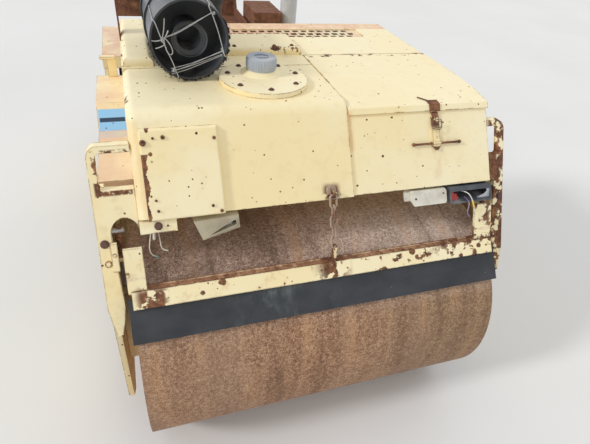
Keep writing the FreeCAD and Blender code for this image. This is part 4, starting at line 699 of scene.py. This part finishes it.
def sweep(mesh, points, radius, sides=10):
    """Round tube along points, closed at both ends, with slightly rounded tips."""
    rings = []
    normal = None
    for number, place in enumerate(points):
        before = points[max(number - 1, 0)]
        after = points[min(number + 1, len(points) - 1)]
        forward = (after - before).normalized()
        if normal is None:
            normal = forward.orthogonal().normalized()
        normal = (normal - forward * normal.dot(forward)).normalized()
        other = forward.cross(normal)
        reach = radius * (0.8 if number in (0, len(points) - 1) else 1.0)
        rings.append([mesh.verts.new(place + reach * (math.cos(math.tau * k / sides) * normal
                                                      + math.sin(math.tau * k / sides) * other))
                      for k in range(sides)])
    for lower, upper in zip(rings, rings[1:]):
        for number in range(sides):
            after = (number + 1) % sides
            mesh.faces.new((lower[number], lower[after], upper[after], upper[number]))
    mesh.faces.new(rings[0][::-1])
    mesh.faces.new(rings[-1])


def bolt(mesh, place, axis, radius, height, twist=0.0):
    """Hexagon head with a chamfer on a thin washer."""
    place, axis = Vector(place), Vector(axis).normalized()
    washer = height * 0.22
    turned(mesh, place - axis * 0.0006, axis, [
        (radius * 1.42, 0), (radius * 1.42, washer), (radius * 1.30, washer + 0.0006)], 20)
    turned(mesh, place - axis * 0.0003, axis, [
        (radius, 0), (radius, height * 0.86), (radius * 0.84, height)], 6, twist)


def screw(mesh, place, axis, radius):
    """Low domed head with a worn driver recess in its middle."""
    place, axis = Vector(place), Vector(axis).normalized()
    turned(mesh, place - axis * 0.0006, axis, [
        (radius, 0), (radius, radius * 0.22), (radius * 0.86, radius * 0.48),
        (radius * 0.58, radius * 0.66), (radius * 0.34, radius * 0.70),
        (radius * 0.26, radius * 0.42)], 16)


# The hood's sloping front plane, in the front module's frame
FACE_LOW = (-0.137, 0.918)
FACE_LEAN = 0.6694
FACE_NORMAL = Vector((0, -1, FACE_LEAN)).normalized()
LEG_LEAN = 0.52
LEG_NORMAL = Vector((0, -1, LEG_LEAN)).normalized()
LEG_TOP = 1.120
COVER_THICK = 0.016


def on_face(x, z, out=0.0):
    """A place on the hood's front plane, or out in front of it by a thickness."""
    y = FACE_LOW[0] + FACE_LEAN * (z - FACE_LOW[1]) - out / -FACE_NORMAL.y
    return at(x, y, z)


def on_leg(x, z, out=0.0):
    return at(x, -LEG_LEAN * (LEG_TOP - z) - out / -LEG_NORMAL.y, z)


def add_fixings():
    mesh = bmesh.new()
    screw(mesh, on_face(-0.520, 1.097, COVER_THICK), FACE_NORMAL, 0.0085)
    for x, z, radius in ((-0.467, 1.107, 0.0058), (-0.330, 1.099, 0.0050),
                         (-0.493, 1.106, 0.0036), (-0.330, 0.930, 0.0050),
                         (-0.353, 0.944, 0.0042), (-0.500, 0.944, 0.0040),
                         (-0.503, 0.968, 0.0036)):
        screw(mesh, on_face(x, z, COVER_THICK), FACE_NORMAL, radius)
    piece("cover_screws", mesh, "rust", "front_module")

    mesh = bmesh.new()
    bolt(mesh, on_face(-0.505, 0.903, 0.003), FACE_NORMAL, 0.0078, 0.006, 0.3)
    screw(mesh, on_face(-0.480, 0.902, 0.003), FACE_NORMAL, 0.0030)
    piece("loom_bolt", mesh, "dark_rust", "front_module")

    mesh = bmesh.new()
    turns = random.Random(5)
    for degrees in (8, 50, 86, 122, 162, 218, 268, 320):
        angle = math.radians(degrees)
        place = at(-0.130 + 0.113 * math.cos(angle), 0.209 + 0.113 * math.sin(angle), 1.1763)
        bolt(mesh, place, (0, 0, 1), 0.0066, 0.0052, turns.random())
    piece("flange_bolts", mesh, "dark_rust", "front_module")

    mesh = bmesh.new()
    for x, y in ((-0.168, 0.478), (-0.020, 0.476), (0.048, 0.480)):
        bolt(mesh, at(x, y, 1.186), (0, 0, 1), 0.0060, 0.005, turns.random())
    piece("hood_bolts", mesh, "rust", "engine_cover")

    mesh = bmesh.new()
    bolt(mesh, on_leg(-0.650, 0.853), LEG_NORMAL, 0.0084, 0.009, 0.2)
    bolt(mesh, on_leg(0.650, 0.853), LEG_NORMAL, 0.0084, 0.009, 0.5)
    piece("leg_bolts", mesh, "dark_rust", "front_module")

    mesh = bmesh.new()
    bolt(mesh, on_leg(-0.647, 0.803), LEG_NORMAL, 0.0076, 0.007, 0.7)
    bolt(mesh, on_leg(-0.628, 0.828, 0.008), LEG_NORMAL, 0.0044, 0.005, 0.4)
    bolt(mesh, on_leg(0.647, 0.803), LEG_NORMAL, 0.0076, 0.007, 0.1)
    piece("painted_bolts", mesh, "beam", "front_module")


AXLE_HEIGHT = 0.380
PLATE_FACE = 0.663
HUB_RING = 0.114


def add_hub_bolts():
    """A ring of bolts round each axle's hub cap, on the outside of the side plates."""
    turns = random.Random(8)
    for body, axle_y in (("front_module", FRONT), ("rear_module", -FRONT)):
        mesh = bmesh.new()
        for side in (-1, 1):
            for number in range(8):
                angle = math.tau * (number + 0.5) / 8
                place = (side * PLATE_FACE, axle_y + HUB_RING * math.cos(angle),
                         AXLE_HEIGHT + HUB_RING * math.sin(angle))
                bolt(mesh, place, (side, 0, 0), 0.0085, 0.0070, turns.random())
        piece(body + "_hub_bolts", mesh, "dark_rust", body)


CAP_PLACE = at(-0.130, 0.240, 1.1909)


def add_cap_grip():
    """Ribbed ring round the filler cap."""
    mesh = bmesh.new()
    turned(mesh, CAP_PLACE, (0, 0, 1), [
        (0.0462, 0.004), (0.0478, 0.007), (0.0478, 0.029), (0.0462, 0.033)], 72, 0.0, 0.0016)
    piece("cap_grip", mesh, "cap", "front_module")


# The air canister's mouth: centre, radius and the wires tied across it
MOUTH = (-0.352, 1.2823)
MOUTH_RADIUS = 0.115
MOUTH_Y = 0.222
TIE_Y = MOUTH_Y - 0.0022
TIE_RADIUS = 0.0016


def on_rim(degrees, out, y):
    """A place round the canister's axis at an angle, out from its wall, at depth y."""
    angle = math.radians(degrees)
    reach = MOUTH_RADIUS + out
    return at(MOUTH[0] + reach * math.cos(angle), y, MOUTH[1] + reach * math.sin(angle))


def over_rim(degrees, inside, back):
    """A wire from behind along the wall, round the rim, and in front of the mouth."""
    gap = TIE_RADIUS + 0.0006
    run = [on_rim(degrees, gap, back), on_rim(degrees, gap, (back + MOUTH_Y) / 2),
           on_rim(degrees, gap, MOUTH_Y + 0.006), on_rim(degrees, gap, TIE_Y),
           on_rim(degrees, -0.004, TIE_Y)]
    return run + [at(x, TIE_Y, z) for x, z in inside]


def add_lashing():
    """Galvanised wires tied over the mouth, their loop and their ends."""
    band_y = 0.376
    runs = [
        over_rim(150, [(-0.436, 1.296), (-0.429, 1.276), (-0.421, 1.262)], band_y),
        over_rim(249, [(-0.397, 1.190), (-0.407, 1.225), (-0.424, 1.262), (-0.431, 1.290)],
                 0.330),
        over_rim(60, [(-0.288, 1.362), (-0.271, 1.315), (-0.259, 1.268), (-0.252, 1.240)],
                 band_y),
        over_rim(-24, [(-0.254, 1.246), (-0.262, 1.262)], 0.330),
    ]
    crossing = ((-0.431, 1.291), (-0.395, 1.303), (-0.355, 1.325), (-0.318, 1.345),
                (-0.287, 1.361))
    lower = ((-0.412, 1.199), (-0.370, 1.209), (-0.320, 1.228), (-0.258, 1.252))
    strands = [[at(x, TIE_Y + 0.0004, z) for x, z in crossing],
               [at(x, TIE_Y + 0.0002, z - 0.0010 - 0.0024 * math.sin(number))
                for number, (x, z) in enumerate(crossing)]]
    for first, last in ((0.004, -0.001), (-0.006, 0.002), (-0.013, -0.012), (-0.003, -0.009)):
        strands.append([at(x, TIE_Y + 0.0003, z + first + (last - first) * number / 3)
                        for number, (x, z) in enumerate(lower)])
    loop = ((-0.424, 1.292), (-0.414, 1.281), (-0.405, 1.262), (-0.404, 1.248),
            (-0.412, 1.243), (-0.421, 1.254), (-0.426, 1.275), (-0.427, 1.290))
    runs.append([at(x, TIE_Y - 0.003, z) for x, z in loop])
    runs.append([at(-0.431, TIE_Y - 0.001, 1.290), at(-0.424, TIE_Y - 0.004, 1.312),
                 at(-0.421, TIE_Y - 0.002, 1.345)])
    runs.append([at(-0.427, TIE_Y - 0.001, 1.286), at(-0.419, TIE_Y - 0.006, 1.300),
                 at(-0.413, TIE_Y - 0.004, 1.313)])
    runs.append([at(-0.461, TIE_Y, 1.284), at(-0.446, TIE_Y - 0.002, 1.281),
                 at(-0.431, TIE_Y - 0.002, 1.288)])
    runs.append([at(-0.452, TIE_Y, 1.262), at(-0.436, TIE_Y - 0.003, 1.266),
                 at(-0.424, TIE_Y - 0.002, 1.274)])
    spline_object("canister_lashing", runs, TIE_RADIUS, "wire", "engine_cover")
    spline_object("lashing_strands", strands, 0.0010, "wire", "engine_cover")
    knots = bmesh.new()
    for x, z, turns in ((-0.431, 1.287, 5), (-0.404, 1.198, 4), (-0.282, 1.360, 3)):
        coil = []
        for number in range(turns * 10):
            angle = math.tau * number / 10
            coil.append(at(x + 0.0034 * math.cos(angle), TIE_Y - 0.0012 + 0.0024 * math.sin(angle),
                           z + 0.0030 * (number / 10 - turns / 2)))
        sweep(knots, coil, 0.0011, 6)
    piece("lashing_knots", knots, "wire", "engine_cover")


def add_torn_wrap():
    """Frayed film round the lower and right part of the canister's mouth."""
    mesh = bmesh.new()
    shape = random.Random(11)
    degrees = -178.0
    while degrees < 30:
        width = shape.uniform(2.0, 9.0)
        length = shape.uniform(0.002, 0.012) * (1.6 if degrees > -60 else 1.0)
        lift = shape.uniform(0.0008, 0.0050)
        thick = 0.0007
        lean = shape.uniform(-2.5, 2.5)
        corners = []
        for out in (0.0008, 0.0008 + thick):
            corners += [on_rim(degrees, out, MOUTH_Y + 0.022),
                        on_rim(degrees + width, out, MOUTH_Y + 0.022),
                        on_rim(degrees + width * 0.9, out + lift * 0.5, MOUTH_Y + 0.002),
                        on_rim(degrees + width * 0.5 + lean, out + lift, MOUTH_Y - length * 0.55),
                        on_rim(degrees + width * 0.1, out + lift * 0.4, MOUTH_Y + 0.003)]
        points = [mesh.verts.new(corner) for corner in corners]
        mesh.faces.new(points[:5])
        mesh.faces.new(points[5:][::-1])
        for number in range(5):
            after = (number + 1) % 5
            mesh.faces.new((points[number], points[5 + number], points[5 + after],
                            points[after]))
        degrees += width * shape.uniform(0.6, 1.5)
    for number in range(34):
        start = shape.choice((shape.uniform(-178, -95), shape.uniform(-60, 25)))
        swing = shape.uniform(-9, 9)
        reach = shape.uniform(0.004, 0.016)
        sweep(mesh, [on_rim(start, 0.0012, MOUTH_Y + 0.010),
                     on_rim(start + swing * 0.3, 0.0025, MOUTH_Y - 0.001),
                     on_rim(start + swing * 0.7, reach * 0.5, MOUTH_Y - reach * 0.4),
                     on_rim(start + swing, reach * 0.8, MOUTH_Y - reach * 0.3)], 0.0006, 5)
    piece("torn_wrap", mesh, "wrap", "engine_cover", 0.2)


def add_tube_ring():
    """Flared end of the canister's inner tube."""
    mesh = bmesh.new()
    sides = 56
    rings = []
    for radius, depth in ((0.0392, 0.2525), (0.0485, 0.2500), (0.0497, 0.2430),
                          (0.0516, 0.2412), (0.0534, 0.2430), (0.0530, 0.2520),
                          (0.0420, 0.2560)):
        rings.append([mesh.verts.new(at(-0.350 + radius * math.cos(math.tau * k / sides), depth,
                                        1.2800 + radius * math.sin(math.tau * k / sides)))
                      for k in range(sides)])
    for lower, upper in zip(rings, rings[1:] + rings[:1]):
        for number in range(sides):
            after = (number + 1) % sides
            mesh.faces.new((lower[number], lower[after], upper[after], upper[number]))
    piece("tube_ring", mesh, "canister", "engine_cover")


def shard(mesh, corners, y, thick):
    """A splinter of lens: a flat outline of (x, z) corners with a small thickness."""
    front = [mesh.verts.new(at(x, y + 0.35 * (z - 0.9), z)) for x, z in corners]
    back = [mesh.verts.new(vertex.co + Vector((0, thick, 0.0004))) for vertex in front]
    mesh.faces.new(front)
    mesh.faces.new(back[::-1])
    for number in range(len(front)):
        after = (number + 1) % len(front)
        mesh.faces.new((front[number], back[number], back[after], front[after]))


def add_lens_remnants():
    mesh = bmesh.new()
    shard(mesh, [(0.4335, 0.8705), (0.4620, 0.8705), (0.4665, 0.8790), (0.4590, 0.8850),
                 (0.4560, 0.8935), (0.4480, 0.8900), (0.4440, 0.8990), (0.4335, 0.9000)],
          -0.146, 0.0025)
    shard(mesh, [(0.4335, 0.8850), (0.4480, 0.8705), (0.4550, 0.8830), (0.4400, 0.8980)],
          -0.139, 0.0025)
    piece("red_lens_remnants", mesh, "red", "front_module")
    mesh = bmesh.new()
    shard(mesh, [(0.5905, 0.8705), (0.5905, 0.9000), (0.5760, 0.8990), (0.5795, 0.8880),
                 (0.5690, 0.8800), (0.5560, 0.8760), (0.5420, 0.8705)], -0.146, 0.0022)
    piece("clear_lens_remnants", mesh, "clear", "front_module")


def add_lamp_details():
    """Bent rim and broken glass of the left lamp, and the right lamp's screws."""
    rim = [on_face(x, z, 0.0005) for x, z in (
        (-0.3845, 0.8610), (-0.3370, 0.8812), (-0.2908, 0.9002), (-0.2880, 0.8910),
        (-0.2885, 0.8812), (-0.3370, 0.8712), (-0.3845, 0.8606))]
    spline_object("left_lamp_rim", [rim], 0.0022, "lamp", "front_module")
    mesh = bmesh.new()
    shard(mesh, [(-0.372, 0.8630), (-0.352, 0.8650), (-0.345, 0.8730), (-0.350, 0.8770)],
          -0.142, 0.002)
    shard(mesh, [(-0.330, 0.8710), (-0.304, 0.8770), (-0.299, 0.8850), (-0.312, 0.8870),
                 (-0.318, 0.8800)], -0.140, 0.002)
    piece("left_lamp_glass", mesh, "clear", "front_module")
    mesh = bmesh.new()
    screw(mesh, on_face(0.2990, 0.893, 0.0005), FACE_NORMAL, 0.0036)
    screw(mesh, on_face(0.4030, 0.901, 0.0005), FACE_NORMAL, 0.0030)
    piece("right_lamp_screws", mesh, "dark_rust", "front_module")


def add_chain_eye():
    """Welded boss round the chain's eye on the hood."""
    mesh = bmesh.new()
    turned(mesh, on_face(0.008, 0.9415, -0.0005), FACE_NORMAL, [
        (0.0165, 0), (0.0160, 0.0035), (0.0125, 0.0055), (0.0090, 0.0060)], 28)
    piece("chain_boss", mesh, "chain", "front_module")


def add_pivot_rods():
    """Rusty adjusting rods of the front scraper and their bars inside the legs' arches."""
    mesh = bmesh.new()
    for side in (-1, 1):
        x = side * 0.6105
        low, high = at(x, -0.1240, 0.7820), at(x, -0.1040, 0.8880)
        lean = (high - low).normalized()
        reach = (high - low).length
        turned(mesh, low, lean, [(0.0050, 0), (0.0060, 0.002), (0.0060, reach - 0.002),
                                 (0.0050, reach)], 14)
        for height in (0.030, 0.074):
            turned(mesh, low + lean * height, lean, [
                (0.0084, 0), (0.0092, 0.0015), (0.0092, 0.0085), (0.0084, 0.0100)], 6)
        turned(mesh, low + lean * 0.066, lean, [(0.0110, 0), (0.0110, 0.0020)], 20)
    piece("scraper_rods", mesh, "rust", "front_module")
    mesh = bmesh.new()
    outer, inner = 0.6340, 0.5960
    for side in (-1, 1):
        turned(mesh, at(side * outer, -0.1090, 0.8720), (-side, 0, 0), [
            (0.0060, 0), (0.0070, 0.001), (0.0070, outer - inner - 0.001),
            (0.0060, outer - inner)], 14)
    piece("scraper_rod_bars", mesh, "steel", "front_module")


def add_strap_wire():
    """Wire bound round the strap under the keeper."""
    out = 0.0125
    left, right, top, low = 0.3745, 0.4075, 1.108, 1.083
    ring = [on_face(left, top - 0.004, out), on_face(0.391, top, out + 0.002),
            on_face(right, top - 0.002, out), on_face(right + 0.002, low + 0.004, out - 0.004),
            on_face(0.396, low, out + 0.001), on_face(left - 0.001, low + 0.005, out)]
    second = [place + Vector((0.0004, -0.0012, -0.0060)) for place in ring]
    spline_object("strap_wire", [ring + ring[:2], second], 0.0011, "dark_rust",
                  "front_module")


BEVELS = {
    "hood_tank": 0.0018, "right_lid": 0.0018, "engine_cover": 0.0018, "front_cover": 0.0022,
    "front_legs": 0.0022, "rear_legs": 0.0022, "side_rails": 0.0018, "front_scraper": 0.0014,
    "rear_scraper": 0.0014, "front_yoke": 0.0022, "rear_yoke": 0.0022, "filler_flange": 0.0022,
    "filler_cap": 0.0045, "left_lamp": 0.0016, "right_lamp": 0.0022, "tail_lamp": 0.0012,
    "latch_strap": 0.0010, "front_wiper": 0.0015, "rear_wiper": 0.0015, "rear_deck": 0.0022,
    "seat_base": 0.0030, "seat_shell": 0.0030, "side_console": 0.0030, "floor_plate": 0.0020,
    "lid_keeper": 0.0008, "cradle_beams": 0.0020, "canister_bracket": 0.0010,
    "loom_plate": 0.0006, "oil_filter": 0.0016, "front_hub_caps": 0.0025,
    "rear_hub_caps": 0.0025, "front_drum": 0.0030, "rear_drum": 0.0030,
}


def round_edges():
    """Break the sharp edges of the CAD nodes, without changing their meshes."""
    for name, width in BEVELS.items():
        bevel = nodes[name].modifiers.new("edges", "BEVEL")
        bevel.width = width
        bevel.segments = 2
        bevel.limit_method = "ANGLE"
        bevel.angle_limit = math.radians(38)
        bevel.use_clamp_overlap = True


def add_surroundings():
    mesh = bpy.data.meshes.new("floor")
    reach = 14.0
    mesh.from_pydata([(-reach, -reach, 0), (reach, -reach, 0), (reach, reach, 0),
                      (-reach, reach, 0)], [], [(0, 1, 2, 3)])
    floor = bpy.data.objects.new("floor", mesh)
    bpy.context.collection.objects.link(floor)
    mesh.materials.append(floor_finish())

    world = bpy.data.worlds.new("studio")
    bpy.context.scene.world = world
    world.use_nodes = True
    tree = world.node_tree
    light = tree.nodes["Background"]
    light.inputs["Color"].default_value = (0.96, 0.98, 1.0, 1)
    light.inputs["Strength"].default_value = 0.77
    backdrop = tree.nodes.new("ShaderNodeBackground")
    backdrop.inputs["Color"].default_value = (0.82, 0.82, 0.81, 1)
    backdrop.inputs["Strength"].default_value = 1.0
    path = tree.nodes.new("ShaderNodeLightPath")
    choose = tree.nodes.new("ShaderNodeMixShader")
    seen = path.outputs["Is Camera Ray"]
    for kind in ("Is Glossy Ray", "Is Transmission Ray"):
        either = tree.nodes.new("ShaderNodeMath")
        either.operation = "MAXIMUM"
        tree.links.new(seen, either.inputs[0])
        tree.links.new(path.outputs[kind], either.inputs[1])
        seen = either.outputs[0]
    tree.links.new(seen, choose.inputs[0])
    tree.links.new(light.outputs[0], choose.inputs[1])
    tree.links.new(backdrop.outputs[0], choose.inputs[2])
    tree.links.new(choose.outputs[0], tree.nodes["World Output"].inputs["Surface"])

    # columns: name, direction towards the light, strength, apparent size in degrees
    for name, towards, strength, size in (
            ("key", (-0.80, -0.08, 0.48), 1.42, 9), ("fill", (0.6, 0.5, 0.7), 0.20, 60)):
        data = bpy.data.lights.new(name, "SUN")
        data.energy = strength
        data.angle = math.radians(size)
        lamp = bpy.data.objects.new(name, data)
        bpy.context.collection.objects.link(lamp)
        lamp.rotation_mode = "QUATERNION"
        lamp.rotation_quaternion = Vector(towards).to_track_quat("Z", "Y")
    bpy.context.scene.view_settings.view_transform = "Standard"


add_camera()
finishes = make_finishes()
add_cords()
dress_nodes(finishes)
round_edges()
add_fixings()
add_hub_bolts()
add_cap_grip()
add_lashing()
add_torn_wrap()
add_tube_ring()
add_lens_remnants()
add_strap_wire()
add_lamp_details()
add_chain_eye()
add_pivot_rods()
add_surroundings()
